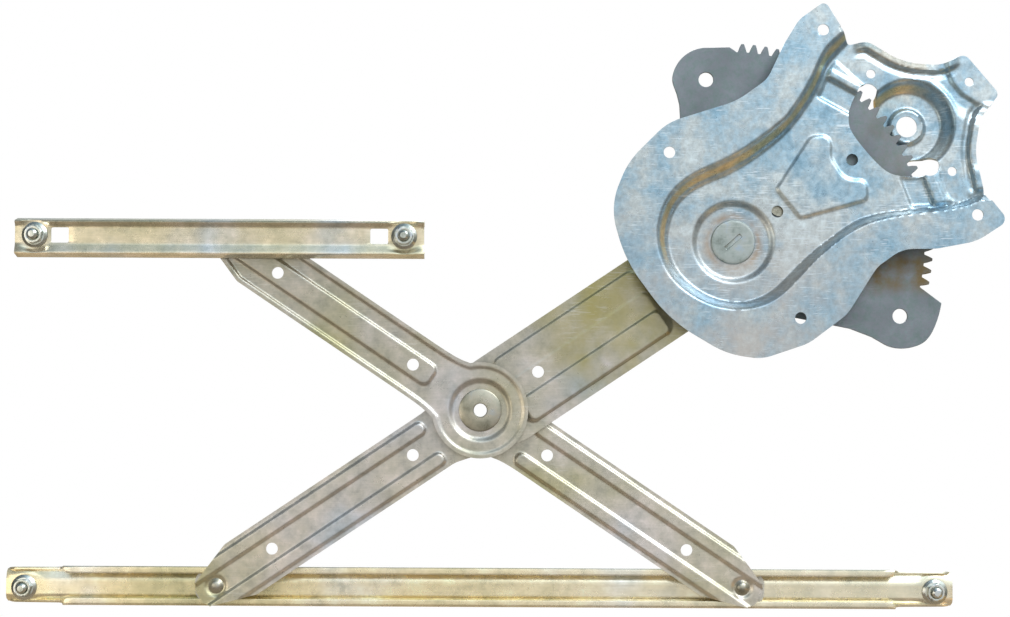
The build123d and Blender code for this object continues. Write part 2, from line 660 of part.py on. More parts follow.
with BuildPart() as upper_rail:
    section = rail_section(UPPER_RAIL_MIDDLE - UPPER_RAIL_LENGTH / 2, UPPER_RAIL_Z, 0, 1,
                           -UPPER_STRIP_RISE)
    extrude(section, amount=UPPER_RAIL_LENGTH)
    # flattened round each stud, so that its nut seats on the strip
    with BuildSketch(at(STRIP_DEPTH + RAIL_SHEET)):
        with Locations((UPPER_RAIL_MIDDLE, UPPER_RAIL_Z + UPPER_STRIP_RISE)):
            with GridLocations(UPPER_STUD_SPACING, 1, 2, 1):
                Circle(NUT_FLANGE / 2 + 1.2)
    extrude(amount=RAIL_SHEET)
    with BuildSketch(at(STRIP_DEPTH)):
        with Locations((UPPER_RAIL_MIDDLE, UPPER_RAIL_Z + UPPER_STRIP_RISE)):
            with GridLocations(UPPER_STUD_SPACING, 1, 2, 1):
                Circle(NUT_FLANGE / 2 + 0.4)
    extrude(amount=STRIP_DEPTH + 1, mode=Mode.SUBTRACT)
    with BuildSketch(at(5)):
        with Locations((UPPER_RAIL_MIDDLE, UPPER_RAIL_Z + UPPER_STRIP_RISE)):
            with GridLocations(SLOT_SPACING, 1, 2, 1):
                RectangleRounded(*SLOT, 1)
            with GridLocations(UPPER_STUD_SPACING, 1, 2, 1):
                Circle(STUD / 2)
    extrude(amount=10, mode=Mode.SUBTRACT)
save(upper_rail.part, "upper_rail")

with BuildPart() as glass_rail:
    section = rail_section(GLASS_RAIL_MIDDLE + GLASS_RAIL_LENGTH / 2, glass_z, glass_back, -1,
                           GLASS_STRIP_DROP)
    extrude(section, amount=GLASS_RAIL_LENGTH)
    # lips stop short of the ends, where the flanges are lower and the corners rounded
    end = (GLASS_RAIL_LENGTH - GLASS_LIP_LENGTH) / 2
    with BuildSketch(at(glass_back - END_FLANGE)):
        with Locations((GLASS_RAIL_MIDDLE, glass_z)):
            with GridLocations(GLASS_RAIL_LENGTH - end, 1, 2, 1):
                Rectangle(end, RAIL_HEIGHT)
    extrude(amount=RAIL_DEPTH, mode=Mode.SUBTRACT)
    with BuildSketch(at(glass_back + 1)):
        with Locations((GLASS_RAIL_MIDDLE, glass_z)):
            Rectangle(GLASS_RAIL_LENGTH + 10, RAIL_HEIGHT + 10)
            RectangleRounded(GLASS_RAIL_LENGTH, RAIL_HEIGHT, END_RADIUS, mode=Mode.SUBTRACT)
        with Locations((GLASS_RAIL_MIDDLE, glass_z - GLASS_STRIP_DROP)):
            with GridLocations(GLASS_STUD_SPACING, 1, 2, 1):
                Circle(STUD / 2)
    extrude(amount=20, mode=Mode.SUBTRACT)
    # flattened round each stud, so that its nut seats on the strip
    with BuildSketch(at(glass_back - STRIP_DEPTH - RAIL_SHEET)):
        with Locations((GLASS_RAIL_MIDDLE, glass_z - GLASS_STRIP_DROP)):
            with GridLocations(GLASS_STUD_SPACING, 1, 2, 1):
                Circle(NUT_FLANGE / 2 + 0.4)
    extrude(amount=STRIP_DEPTH + 1, mode=Mode.SUBTRACT)
save(glass_rail.part, "glass_rail")

# ---------------------------------------------------------------- studs and nuts
STUD_HEAD_R = 7.5
STUD_HEAD_T = 1.6
STUD_OUT = 10.0                 # stud beyond the face that its nut seats on
# label: middle of the rail, height, spacing, depth of the nut's seat, radius of the stud's head
STUDS = {
    "upper_rail": (UPPER_RAIL_MIDDLE, UPPER_RAIL_Z + UPPER_STRIP_RISE, UPPER_STUD_SPACING,
                   STRIP_DEPTH, STUD_HEAD_R),
    "glass_rail": (GLASS_RAIL_MIDDLE, glass_z - GLASS_STRIP_DROP, GLASS_STUD_SPACING,
                   glass_back - STRIP_DEPTH - RAIL_SHEET, STRIP / 2 - PLAY),
}
for label, (middle, height, spacing, seat, head_r) in STUDS.items():
    with BuildPart() as studs:
        with BuildSketch(at(seat + RAIL_SHEET + STUD_HEAD_T)):
            with Locations((middle, height)):
                with GridLocations(spacing, 1, 2, 1):
                    Circle(head_r)
        extrude(amount=STUD_HEAD_T)
        with BuildSketch(at(seat + RAIL_SHEET)):
            with Locations((middle, height)):
                with GridLocations(spacing, 1, 2, 1):
                    Circle(STUD / 2)
        extrude(amount=RAIL_SHEET + NUT_HEIGHT + 0.4)
        with BuildSketch(at(seat)):
            with Locations((middle, height)):
                with GridLocations(spacing, 1, 2, 1):
                    Circle(STUD_POINT / 2)
        extrude(amount=STUD_OUT)
        chamfer(studs.faces().sort_by(Axis.Y)[0:2].edges(), 0.6)
    save(studs.part, f"{label}_studs")
    with BuildPart() as nuts:
        with BuildSketch(at(seat)):
            with Locations((middle, height)):
                with GridLocations(spacing, 1, 2, 1):
                    Circle(NUT_FLANGE / 2)
        extrude(amount=1.2)
        with BuildSketch(at(seat)):
            with Locations((middle, height)):
                with GridLocations(spacing, 1, 2, 1):
                    RegularPolygon(NUT_FLATS / 2, 6, major_radius=False)
        extrude(amount=NUT_HEIGHT)
        with BuildSketch(at(seat)):
            with Locations((middle, height)):
                with GridLocations(spacing, 1, 2, 1):
                    Circle(STUD / 2)
        extrude(amount=NUT_HEIGHT, mode=Mode.SUBTRACT)
    save(nuts.part, f"{label}_nuts")
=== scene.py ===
"""Scissor-arm window regulator for a car door: pressed plate, sector gear, crossed arms, rails.

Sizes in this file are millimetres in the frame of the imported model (X along the door, Z up,
Y away from the cabin) until a mesh is made, where they become metres.
"""
import json
import math

import bmesh
import bpy
import numpy as np
from bpy.props import FloatProperty, FloatVectorProperty, PointerProperty
from mathutils import Matrix, Vector
from mathutils.geometry import delaunay_2d_cdt


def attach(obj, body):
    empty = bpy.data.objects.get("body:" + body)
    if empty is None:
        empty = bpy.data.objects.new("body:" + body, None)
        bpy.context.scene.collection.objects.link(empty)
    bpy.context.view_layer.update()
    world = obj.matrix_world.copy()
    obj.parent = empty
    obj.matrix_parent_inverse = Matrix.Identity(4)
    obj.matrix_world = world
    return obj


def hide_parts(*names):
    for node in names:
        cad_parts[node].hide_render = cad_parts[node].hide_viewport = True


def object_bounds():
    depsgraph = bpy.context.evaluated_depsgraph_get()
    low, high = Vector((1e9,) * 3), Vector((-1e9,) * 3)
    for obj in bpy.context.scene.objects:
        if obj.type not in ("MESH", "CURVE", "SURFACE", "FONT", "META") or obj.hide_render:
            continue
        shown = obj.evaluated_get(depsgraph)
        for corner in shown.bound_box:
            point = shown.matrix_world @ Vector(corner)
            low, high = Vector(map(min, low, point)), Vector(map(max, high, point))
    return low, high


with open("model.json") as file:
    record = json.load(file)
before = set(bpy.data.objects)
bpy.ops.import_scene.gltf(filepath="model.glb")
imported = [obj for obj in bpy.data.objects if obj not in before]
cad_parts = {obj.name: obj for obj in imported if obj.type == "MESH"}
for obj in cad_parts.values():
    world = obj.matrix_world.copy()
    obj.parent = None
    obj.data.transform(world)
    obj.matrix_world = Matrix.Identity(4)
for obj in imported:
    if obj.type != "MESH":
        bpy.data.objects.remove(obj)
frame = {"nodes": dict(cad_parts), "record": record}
START_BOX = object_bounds()

bl_info = {
    "name": "Window regulator",
    "version": (1, 0, 0),
    "blender": (4, 5, 0),
    "location": "View3D > Sidebar > Regulator",
    "description": "Builds the pressed, turned and folded pieces of a scissor-arm window regulator",
    "category": "Object",
}

MM = 0.001
SLOPE = math.radians(33.85)
PIVOT = (-53.0, -34.6)
UPPER_LINK = 183.6
LOWER_LINK = 191.5
CENTRE = (PIVOT[0] - UPPER_LINK * math.cos(SLOPE), PIVOT[1] - UPPER_LINK * math.sin(SLOPE))
LEFT_PIN = (CENTRE[0] - LOWER_LINK * math.cos(SLOPE), CENTRE[1] - LOWER_LINK * math.sin(SLOPE))
RIGHT_PIN = (CENTRE[0] + LOWER_LINK * math.cos(SLOPE), LEFT_PIN[1])
SHAFT = (53.5, 36.86)
UPPER_RAIL_Z = -34.0
GLASS_RAIL_Z = LEFT_PIN[1] - 1.0
UPPER_STRIP = 1.2
GLASS_STRIP = -1.8

# depths of the layers behind the door panel's face
RECESS = 10.0
PIVOT_SEAT = 12.2
BOWL_DEPTH = 9.5        # of the shaft's bowl, behind the recess
LIFT_FRONT = 16.9
LIFT_BACK = 18.9
GLASS_BACK = 36.0
DISC_GAP = 3.2          # from the lift arm's front to the seat of the disc before it
CENTRE_WASHER = 1.2
PIN_BACK = 31.0         # rear end of the slider pins


# ---------------------------------------------------------------------------- what can be changed
def length(name, description, millimetres):
    return FloatProperty(name=name, description=description, default=millimetres * MM, min=0.0,
                         precision=5, unit="LENGTH")


def colour(name, description, value):
    return FloatVectorProperty(name=name, description=description, default=value, min=0.0,
                               max=1.0, subtype="COLOR")


def power(name, description, watts):
    return FloatProperty(name=name, description=description, default=watts, min=0.0, unit="POWER")


class RegulatorSizes(bpy.types.PropertyGroup):
    """Sizes of the pressed, turned and folded pieces"""
    plate_sheet: length("Plate sheet", "Thickness of the base plate", 1.6)
    arm_sheet: length("Arm sheet", "Thickness of the arms", 2.0)
    rail_sheet: length("Rail sheet", "Thickness of both rails", 1.5)
    bead_height: length("Bead height", "Height of the long beads on the arms", 1.4)
    disc_dish: length("Disc dish", "How far the scissor discs are dished at their rivet", 2.4)
    broken_edge: length("Broken edge", "Radius on the sheared edges of the sheets", 0.35)
    gear_edge: length("Gear edge", "Radius on the edges of the sector gear", 0.3)
    nut_flats: length("Nut flats", "Width across the flats of the nuts", 10.0)
    nut_flange: length("Nut flange", "Diameter of the nuts' flange", 15.6)
    stud_diameter: length("Stud diameter", "Diameter of the rail studs", 5.9)
    thread_pitch: length("Thread pitch", "Distance between the threads of the studs", 1.0)
    tool_slot: length("Tool slot", "Length of the slot pressed in the main pivot's head", 13.0)


class RegulatorColours(bpy.types.PropertyGroup):
    """Main colour of each finish"""
    plate: colour("Plate", "Galvanised base plate", (0.415, 0.505, 0.56))
    gear: colour("Gear", "Bare steel of the sector gear", (0.215, 0.255, 0.27))
    arm: colour("Arms", "Zinc plating of the arms", (0.51, 0.485, 0.435))
    # olive tone in patches on the arms beside the base plate
    arm_olive: colour("Arm olive", "Olive tone in patches beside the base plate", (0.40, 0.35, 0.13))
    rail: colour("Rails", "Yellow passivation of the rails", (0.82, 0.73, 0.54))
    nut: colour("Nuts", "Bright plating of the nuts and studs", (0.66, 0.68, 0.66))
    pin: colour("Pins", "Plating of the pins and rivets", (0.47, 0.445, 0.38))
    head: colour("Pivot head", "Riveted head of the main pivot", (0.40, 0.45, 0.46))
    bronze: colour("Bronze", "Sintered bush of the main pivot", (0.40, 0.26, 0.12))
    nylon: colour("Nylon", "Sliding shoes in the rails", (0.75, 0.72, 0.63))


class RegulatorStudio(bpy.types.PropertyGroup):
    """Floor and lights"""
    floor: colour("Floor", "Pale floor under the regulator", (0.86, 0.86, 0.86))
    key: power("Key lamp", "Lamp above and to the right", 9.0)
    fill: power("Fill lamp", "Warm lamp from the left", 3.0)
    back: power("Back lamp", "Lamp behind the regulator", 5.0)
    room: FloatProperty(name="Room", description="Brightness of the room in polished metal",
                        default=1.45, min=0.0)


# ---------------------------------------------------------------------------- curves in a plane
def corner(corners, i):
    """A corner, the directions to its neighbours, the nearer one's distance and half the turn."""
    p, before, after = (np.array(corners[k % len(corners)][0], float) for k in (i, i - 1, i + 1))
    a, b = before - p, after - p
    la, lb = np.linalg.norm(a), np.linalg.norm(b)
    a, b = a / la, b / lb
    turn = math.pi - math.acos(max(-1.0, min(1.0, float(a @ b))))
    return p, a, b, min(la, lb), turn / 2


def rounded(corners, step=1.0):
    """Closed outline through corners given as ((x, z), radius), sampled every step."""
    path = []
    for i, (_, radius) in enumerate(corners):
        p, a, b, room, half_turn = corner(corners, i)
        if radius <= 0 or half_turn < 5e-4:
            path.append(p)
            continue
        cut = min(radius * math.tan(half_turn), 0.49 * room)
        radius = cut / math.tan(half_turn)
        start, end = p + a * cut, p + b * cut
        middle = p + (a + b) / np.linalg.norm(a + b) * radius / math.cos(half_turn)
        first = math.atan2(*(start - middle)[::-1])
        last = math.atan2(*(end - middle)[::-1])
        sweep = (last - first + math.pi) % (2 * math.pi) - math.pi
        count = max(2, int(abs(sweep) * radius / step) + 1)
        for k in range(count + 1):
            angle = first + sweep * k / count
            path.append(middle + radius * np.array([math.cos(angle), math.sin(angle)]))
    return even(np.array(path), step, closed=True)


def even(path, step, closed=False):
    """The same path with long runs divided and points that nearly meet dropped."""
    kept = []
    count = len(path)
    for i in range(count if closed else count - 1):
        a, b = path[i], path[(i + 1) % count]
        run = np.linalg.norm(b - a)
        if run < 0.25 * step:
            continue
        parts = max(1, int(round(run / step)))
        for k in range(parts):
            kept.append(a + (b - a) * k / parts)
    if not closed:
        kept.append(path[-1])
    return np.array(kept)


def flowing(points, step=1.0, closed=False):
    """Smooth curve through points."""
    p = np.array(points, float)
    n = len(p)
    out = []
    for i in range(n if closed else n - 1):
        p1, p2 = p[i], p[(i + 1) % n]
        p0 = p[i - 1] if closed or i else 2 * p1 - p2
        p3 = p[(i + 2) % n] if closed or i + 2 < n else 2 * p2 - p1
        parts = max(2, int(np.linalg.norm(p2 - p1) / step))
        for k in range(parts):
            t = k / parts
            out.append(0.5 * (2 * p1 + (p2 - p0) * t + (2 * p0 - 5 * p1 + 4 * p2 - p3) * t * t
                              + (3 * p1 - p0 - 3 * p2 + p3) * t ** 3))
    if not closed:
        out.append(p[-1])
    return np.array(out)


def ring(centre, radius, step=1.0, first=0.0, sweep=360.0):
    """Points on a circle or an arc of it."""
    count = max(8, int(abs(math.radians(sweep)) * radius / step))
    full = abs(sweep) >= 360
    angles = np.radians(first + sweep * np.arange(count + (0 if full else 1)) / count)
    return np.c_[centre[0] + radius * np.cos(angles), centre[1] + radius * np.sin(angles)]


def away(points, path, closed=False):
    """Distance from each point to a path."""
    a = path
    b = np.roll(path, -1, axis=0)
    if not closed:
        a, b = a[:-1], b[:-1]
    best = np.full(len(points), 1e9)
    for p, q in zip(a, b):
        d = q - p
        t = np.clip(((points - p) @ d) / max(1e-12, d @ d), 0, 1)
        best = np.minimum(best, np.hypot(*(points - p - t[:, None] * d).T))
    return best


def within(points, path):
    """Which points lie inside a closed path."""
    x, z = points.T
    inside = np.zeros(len(points), bool)
    for (x1, z1), (x2, z2) in zip(path, np.roll(path, -1, axis=0)):
        if z1 == z2:
            continue
        crosses = (z1 > z) != (z2 > z)
        inside ^= crosses & (x < (x2 - x1) * (z - z1) / (z2 - z1) + x1)
    return inside


def signed(points, path):
    """Distance to a closed path, negative inside it."""
    d = away(points, path, closed=True)
    return np.where(within(points, path), -d, d)


def ease(t):
    """Smooth step from 0 to 1."""
    t = np.clip(t, 0, 1)
    return t * t * (3 - 2 * t)


def local(points, origin, angle):
    """Points seen from an origin with the first axis turned to an angle in radians."""
    d = points - np.array(origin)
    c, s = math.cos(angle), math.sin(angle)
    return d[:, 0] * c + d[:, 1] * s, -d[:, 0] * s + d[:, 1] * c


def placed(points, origin, angle):
    """Local points taken back into the frame."""
    p = np.array(points, float)
    c, s = math.cos(angle), math.sin(angle)
    return np.c_[origin[0] + p[:, 0] * c - p[:, 1] * s, origin[1] + p[:, 0] * s + p[:, 1] * c]


# ---------------------------------------------------------------------------- making meshes
def deselect():
    if bpy.context.object and bpy.context.object.mode != "OBJECT":
        bpy.ops.object.mode_set(mode="OBJECT")
    bpy.ops.object.select_all(action="DESELECT")


def choose(piece):
    deselect()
    piece.select_set(True)
    bpy.context.view_layer.objects.active = piece


def link(name, mesh):
    piece = bpy.data.objects.new(name, mesh)
    bpy.context.scene.collection.objects.link(piece)
    choose(piece)
    return piece


def new_piece(name, vertices, edges, faces):
    mesh = bpy.data.meshes.new(name)
    mesh.from_pydata([tuple(v) for v in vertices], edges, [tuple(f) for f in faces])
    mesh.update()
    return link(name, mesh)


def apply_modifiers(piece):
    choose(piece)
    for modifier in list(piece.modifiers):
        bpy.ops.object.modifier_apply(modifier=modifier.name)


def soften(piece, width, angle=60.0, segments=2):
    """Rounds the edges that turn by more than an angle."""
    bevel = piece.modifiers.new("Edges", "BEVEL")
    bevel.width = width
    bevel.segments = segments
    bevel.limit_method = "ANGLE"
    bevel.angle_limit = math.radians(angle)
    apply_modifiers(piece)


def shade(piece, angle=40.0, flat_faces=False):
    """Smooth shading up to an angle; flat_faces keeps large flat faces flat up to their edge."""
    choose(piece)
    bpy.ops.object.shade_smooth_by_angle(angle=math.radians(angle))
    if flat_faces:
        weighted = piece.modifiers.new("Flat faces", "WEIGHTED_NORMAL")
        weighted.keep_sharp = True
        apply_modifiers(piece)


def outwards(piece, dissolve=0.0):
    """Merges doubles, joins triangles of one flat face and turns every face out."""
    choose(piece)
    bpy.ops.object.mode_set(mode="EDIT")
    bpy.ops.mesh.select_all(action="SELECT")
    bpy.ops.mesh.remove_doubles(threshold=1e-6)
    if dissolve:
        bpy.ops.mesh.dissolve_limited(angle_limit=math.radians(dissolve))
    bpy.ops.mesh.normals_make_consistent(inside=False)
    bpy.ops.object.mode_set(mode="OBJECT")


def combine(piece, tool, operation):
    """Unites a piece with a tool, cuts the tool away or keeps what lies in both."""
    boolean = piece.modifiers.new("Tool", "BOOLEAN")
    boolean.operation = operation
    boolean.object = tool
    apply_modifiers(piece)
    bpy.data.objects.remove(tool)


def primitive(kind, name, **settings):
    """Adds one of Blender's solids and applies where it was put."""
    deselect()
    getattr(bpy.ops.mesh, "primitive_%s_add" % kind)(**settings)
    piece = bpy.context.object
    piece.name = name
    bpy.ops.object.transform_apply(location=True, rotation=True, scale=True)
    return piece


def copy_to(piece, name, place, depth=0.0, turn=0.0):
    """Copy with its own mesh, turned about its own axis and set at a place."""
    mesh = piece.data.copy()
    mesh.transform(Matrix.Translation((place[0] * MM, depth * MM, place[1] * MM))
                   @ Matrix.Rotation(turn, 4, "Y"))
    return link(name, mesh)


def cut_blank(outline, holes, spacing):
    """Flat blank of even triangles inside an outline and round its holes."""
    low, high = outline.min(0) + spacing / 2, outline.max(0)
    rows = []
    for i, z in enumerate(np.arange(low[1], high[1], spacing * 0.866)):
        x = np.arange(low[0] + (spacing / 2 if i % 2 else 0), high[0], spacing)
        rows.append(np.c_[x, np.full(len(x), z)])
    grid = np.vstack(rows)
    keep = within(grid, outline) & (away(grid, outline, True) > 0.55 * spacing)
    for hole in holes:
        near = np.all((grid > hole.min(0) - 3) & (grid < hole.max(0) + 3), axis=1)
        clear = np.ones(len(grid), bool)
        clear[near] = ~within(grid[near], hole) & (away(grid[near], hole, True) > 0.5 * spacing)
        keep &= clear
    grid = grid[keep]
    points, edges = [], []
    for loop in [outline] + list(holes):
        base = len(points)
        points += [Vector(p) for p in loop]
        edges += [(base + i, base + (i + 1) % len(loop)) for i in range(len(loop))]
    points += [Vector(p) for p in grid]
    flat, _, faces, _, _, _ = delaunay_2d_cdt(points, edges, [], 0, 1e-5)
    flat = np.array([(v.x, v.y) for v in flat])
    faces = np.array([f for f in faces if len(f) == 3])
    middles = flat[faces].mean(1)
    keep = within(middles, outline)
    for hole in holes:
        keep &= ~within(middles, hole)
    return flat, faces[keep]


def shell(name, flat, faces, surface, thickness):
    """Sheet of one thickness: surface takes flat points to its outer face, and the other face
    lies along the surface's own normal, on the side that a x b points to."""
    step = 0.05
    outer = surface(flat)
    along = surface(flat + np.array([step, 0])) - surface(flat - np.array([step, 0]))
    across = surface(flat + np.array([0, step])) - surface(flat - np.array([0, step]))
    normal = np.cross(along, across)
    normal /= np.maximum(np.linalg.norm(normal, axis=1), 1e-9)[:, None]
    inner = outer + thickness * normal
    a, b, c = flat[faces[:, 0]], flat[faces[:, 1]], flat[faces[:, 2]]
    turn = (b[:, 0] - a[:, 0]) * (c[:, 1] - a[:, 1]) - (b[:, 1] - a[:, 1]) * (c[:, 0] - a[:, 0])
    faces = np.where((turn > 0)[:, None], faces[:, ::-1], faces)
    sides = np.vstack([faces[:, [0, 1]], faces[:, [1, 2]], faces[:, [2, 0]]])
    ends, count = np.unique(np.sort(sides, axis=1), axis=0, return_counts=True)
    rim = {tuple(e) for e in ends[count == 1]}
    n = len(flat)
    quads = [(b, a, a + n, b + n) for a, b in sides.tolist() if (min(a, b), max(a, b)) in rim]
    if thickness < 0:
        faces, quads = faces[:, ::-1], [q[::-1] for q in quads]
    back = faces[:, ::-1] + n
    return new_piece(name, np.vstack([outer, inner]) * MM, [],
                     faces.tolist() + back.tolist() + quads)


def press(name, outline, holes, depth, thickness, edge, origin=(0, 0), angle=0.0, stretch=1.0,
          spacing=1.05):
    """Pressed sheet. The outline and holes are seen from an origin with the first axis turned to
    an angle, and depth(points) gives the front face's depth behind the door panel."""
    scale = np.array([stretch, 1.0])
    flat, faces = cut_blank(outline * scale, [hole * scale for hole in holes], spacing)
    flat = placed(flat / scale, origin, angle)

    def surface(points):
        return np.c_[points[:, 0], depth(points), points[:, 1]]
    piece = shell(name, flat, faces, surface, -thickness)
    soften(piece, edge)
    shade(piece)
    return piece


def turned(name, profile, place=(0, 0), segments=96):
    """Turned piece about an axis along Y: profile is (radius, depth) from axis to axis."""
    piece = new_piece(name, [((place[0] + r) * MM, y * MM, place[1] * MM) for r, y in profile],
                      [(i, i + 1) for i in range(len(profile) - 1)], [])
    bpy.ops.object.mode_set(mode="EDIT")
    bpy.ops.mesh.select_all(action="SELECT")
    bpy.ops.mesh.spin(steps=segments, angle=2 * math.pi, center=(place[0] * MM, 0, place[1] * MM),
                      axis=(0, 1, 0), dupli=False)
    bpy.ops.object.mode_set(mode="OBJECT")
    outwards(piece)
    return piece


def join(name, pieces):
    deselect()
    for piece in pieces:
        piece.select_set(True)
    bpy.context.view_layer.objects.active = pieces[0]
    bpy.ops.object.join()
    pieces[0].name = pieces[0].data.name = name
    return pieces[0]


def put(piece, body, slot, finish, *nodes):
    """Gives a finished piece its finish and its body, and hides the node it stands for."""
    piece.data.materials.clear()
    piece.data.materials.append(FINISHES[finish])
    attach(piece, body)
    if nodes:
        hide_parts(*nodes)


# ---------------------------------------------------------------------------- finishes
FINISHES = {}


class Nodes:
    """A node tree with a few helpers for wiring it."""

    def __init__(self, tree):
        self.tree = tree

    def add(self, kind, inputs=(), **settings):
        node = self.tree.nodes.new(kind)
        for key, value in settings.items():
            setattr(node, key, value)
        for key, value in dict(inputs).items():
            if isinstance(value, bpy.types.NodeSocket):
                self.tree.links.new(value, node.inputs[key])
            else:
                node.inputs[key].default_value = value
        return node

    def ramp(self, value, *stops):
        """Colour or grey level by value; stops are (position, level or colour)."""
        node = self.add("ShaderNodeValToRGB", {"Fac": value})
        elements = node.color_ramp.elements
        while len(elements) < len(stops):
            elements.new(0.5)
        for element, (position, level) in zip(elements, stops):
            element.position = position
            level = (level,) * 3 if isinstance(level, (int, float)) else level
            element.color = (*level, 1)
        return node.outputs["Color"]

    def spread(self, value, low, high, from_low=0.0, from_high=1.0):
        return self.add("ShaderNodeMapRange", {"Value": value, "From Min": from_low,
                                               "From Max": from_high, "To Min": low,
                                               "To Max": high}).outputs["Result"]

    def maths(self, operation, a, b):
        return self.add("ShaderNodeMath", {0: a, 1: b}, operation=operation).outputs[0]

    def mix(self, kind, factor, a, b):
        a, b = (v if isinstance(v, bpy.types.NodeSocket) else (*v, 1) for v in (a, b))
        return self.add("ShaderNodeMix", {0: factor, 6: a, 7: b}, data_type="RGBA",
                        blend_type=kind).outputs[2]

    def blend(self, factor, a, b):
        """Shader a where the factor is 0 and shader b where it is 1."""
        return self.add("ShaderNodeMixShader", {0: factor, 1: a, 2: b}).outputs[0]


class Finish(Nodes):
    """A node material on Object coordinates."""

    def __init__(self, name, metallic=0.0):
        self.material = bpy.data.materials.new(name)
        self.material.use_nodes = True
        super().__init__(self.material.node_tree)
        self.shader = self.tree.nodes["Principled BSDF"]
        self.shader.inputs["Metallic"].default_value = metallic
        self.place = self.add("ShaderNodeTexCoord").outputs["Object"]

    def noise(self, scale, detail=3.0, rough=0.5, stretch=None, turn=0.0):
        place = self.place
        if stretch:
            place = self.add("ShaderNodeMapping", {"Vector": place, "Scale": stretch,
                                                   "Rotation": (0, turn, 0)}).outputs["Vector"]
        return self.add("ShaderNodeTexNoise", {"Vector": place, "Scale": scale, "Detail": detail,
                                               "Roughness": rough}).outputs["Fac"]

    def axis(self, name):
        return self.add("ShaderNodeSeparateXYZ", {"Vector": self.place}).outputs[name]

    def reach(self, point):
        """Distance from an axis along Y through a point."""
        flat = self.add("ShaderNodeVectorMath", {0: self.place, 1: (1, 0, 1)},
                        operation="MULTIPLY").outputs[0]
        return self.add("ShaderNodeVectorMath", {0: flat, 1: (point[0] * MM, 0, point[1] * MM)},
                        operation="DISTANCE").outputs["Value"]

    def lay_patches(self, tint, where, patch_colour, amount, patches=30.0):
        """Lays another colour over a colour where a value from 0 to 1 says, in uneven patches."""
        broken = self.maths("MULTIPLY", where,
                            self.spread(self.noise(patches, 4.0, 0.6), 0.0, 1.0, 0.34, 0.62))
        return self.mix("MIX", self.maths("MULTIPLY", broken, amount), tint, patch_colour)

    def scratches(self, tint, tone, amount, patches=22.0, low=0.50):
        """Short fine lines of another tone in three directions."""
        where = self.ramp(self.noise(patches, 2.0, 0.5), (low, 0.0), (low + 0.12, 1.0))
        for turn, scale in ((0.5, 30.0), (-0.9, 37.0), (2.2, 26.0)):
            lines = self.noise(scale, 2.0, 0.5, stretch=(3.0, 1.0, 42.0), turn=turn)
            peak = self.ramp(lines, (0.640, 0.0), (0.680, 1.0))
            factor = self.maths("MULTIPLY", self.mix("MULTIPLY", 1.0, peak, where), amount)
            tint = self.mix("MIX", factor, tint, tone)
        return tint

    def finish(self, key, tint, rough, grain=900.0, bump=0.18, depth=0.00006):
        links = self.tree.links
        links.new(tint, self.shader.inputs["Base Color"])
        links.new(rough, self.shader.inputs["Roughness"])
        relief = self.add("ShaderNodeBump", {"Height": self.noise(grain, 3.0, 0.55),
                                             "Strength": bump, "Distance": depth})
        links.new(relief.outputs["Normal"], self.shader.inputs["Normal"])
        FINISHES[key] = self.material


def tones(main, *rows):
    """Ramp stops from one colour: each row is (position, factors for red, green and blue)."""
    return [(position, tuple(min(1.0, c * f) for c, f in zip(main, factors)))
            for position, factors in rows]


def finish_plate(colours):
    f = Finish("Galvanised plate", 0.72)
    tint = f.ramp(f.noise(34.0, 7.0, 0.66), *tones(
        colours.plate, (0.34, (0.58, 0.78, 0.90)), (0.43, (0.80, 0.95, 1.03)),
        (0.52, (1.02, 1.03, 1.02)), (0.60, (1.26, 1.14, 1.04)), (0.70, (1.45, 1.36, 1.28))))
    crystals = f.ramp(f.noise(260.0, 5.0, 0.75), (0.36, 0.80), (0.50, 1.0), (0.64, 1.20))
    tint = f.mix("MULTIPLY", 1.0, tint, crystals)
    # warmer towards the bottom, in patches
    low = f.spread(f.axis("Z"), 0.0, 1.0, -0.005, -0.09)
    tint = f.lay_patches(tint, low, (0.56, 0.49, 0.44), 0.60)
    rust = f.ramp(f.reach(PIVOT), (0.0130, 0.0), (0.0140, 1.0), (0.0170, 0.8), (0.0200, 0.0))
    tint = f.lay_patches(tint, rust, (0.42, 0.27, 0.15), 0.75, 45.0)
    # painted golden reflection on the walls of the recess and of the bowl, by depth, above the line
    # from pivot to shaft
    walls = f.ramp(f.spread(f.axis("Y"), 0.0, 1.0, 0.0, 0.0215),
                   (0.06, 0.0), (0.16, 1.0), (0.30, 1.0), (0.37, 0.0), (0.58, 0.0),
                   (0.68, 1.0), (0.86, 1.0), (0.92, 0.0))
    above = f.maths("ADD", f.maths("MULTIPLY", f.axis("X"), -0.558),
                    f.maths("MULTIPLY", f.axis("Z"), 0.83))
    golden_reflection = f.maths("MULTIPLY", walls, f.spread(above, 0.0, 0.9, 0.008, 0.022))
    tint = f.mix("MULTIPLY", golden_reflection, tint, (1.9, 1.25, 0.62))
    tint = f.scratches(tint, (0.82, 0.90, 0.95), 0.55, 26.0, 0.44)
    tint = f.scratches(tint, (0.28, 0.29, 0.31), 0.14, 17.0, 0.54)
    f.finish("plate", tint, f.spread(f.noise(90.0, 4.0, 0.6), 0.25, 0.40, 0.3, 0.7))


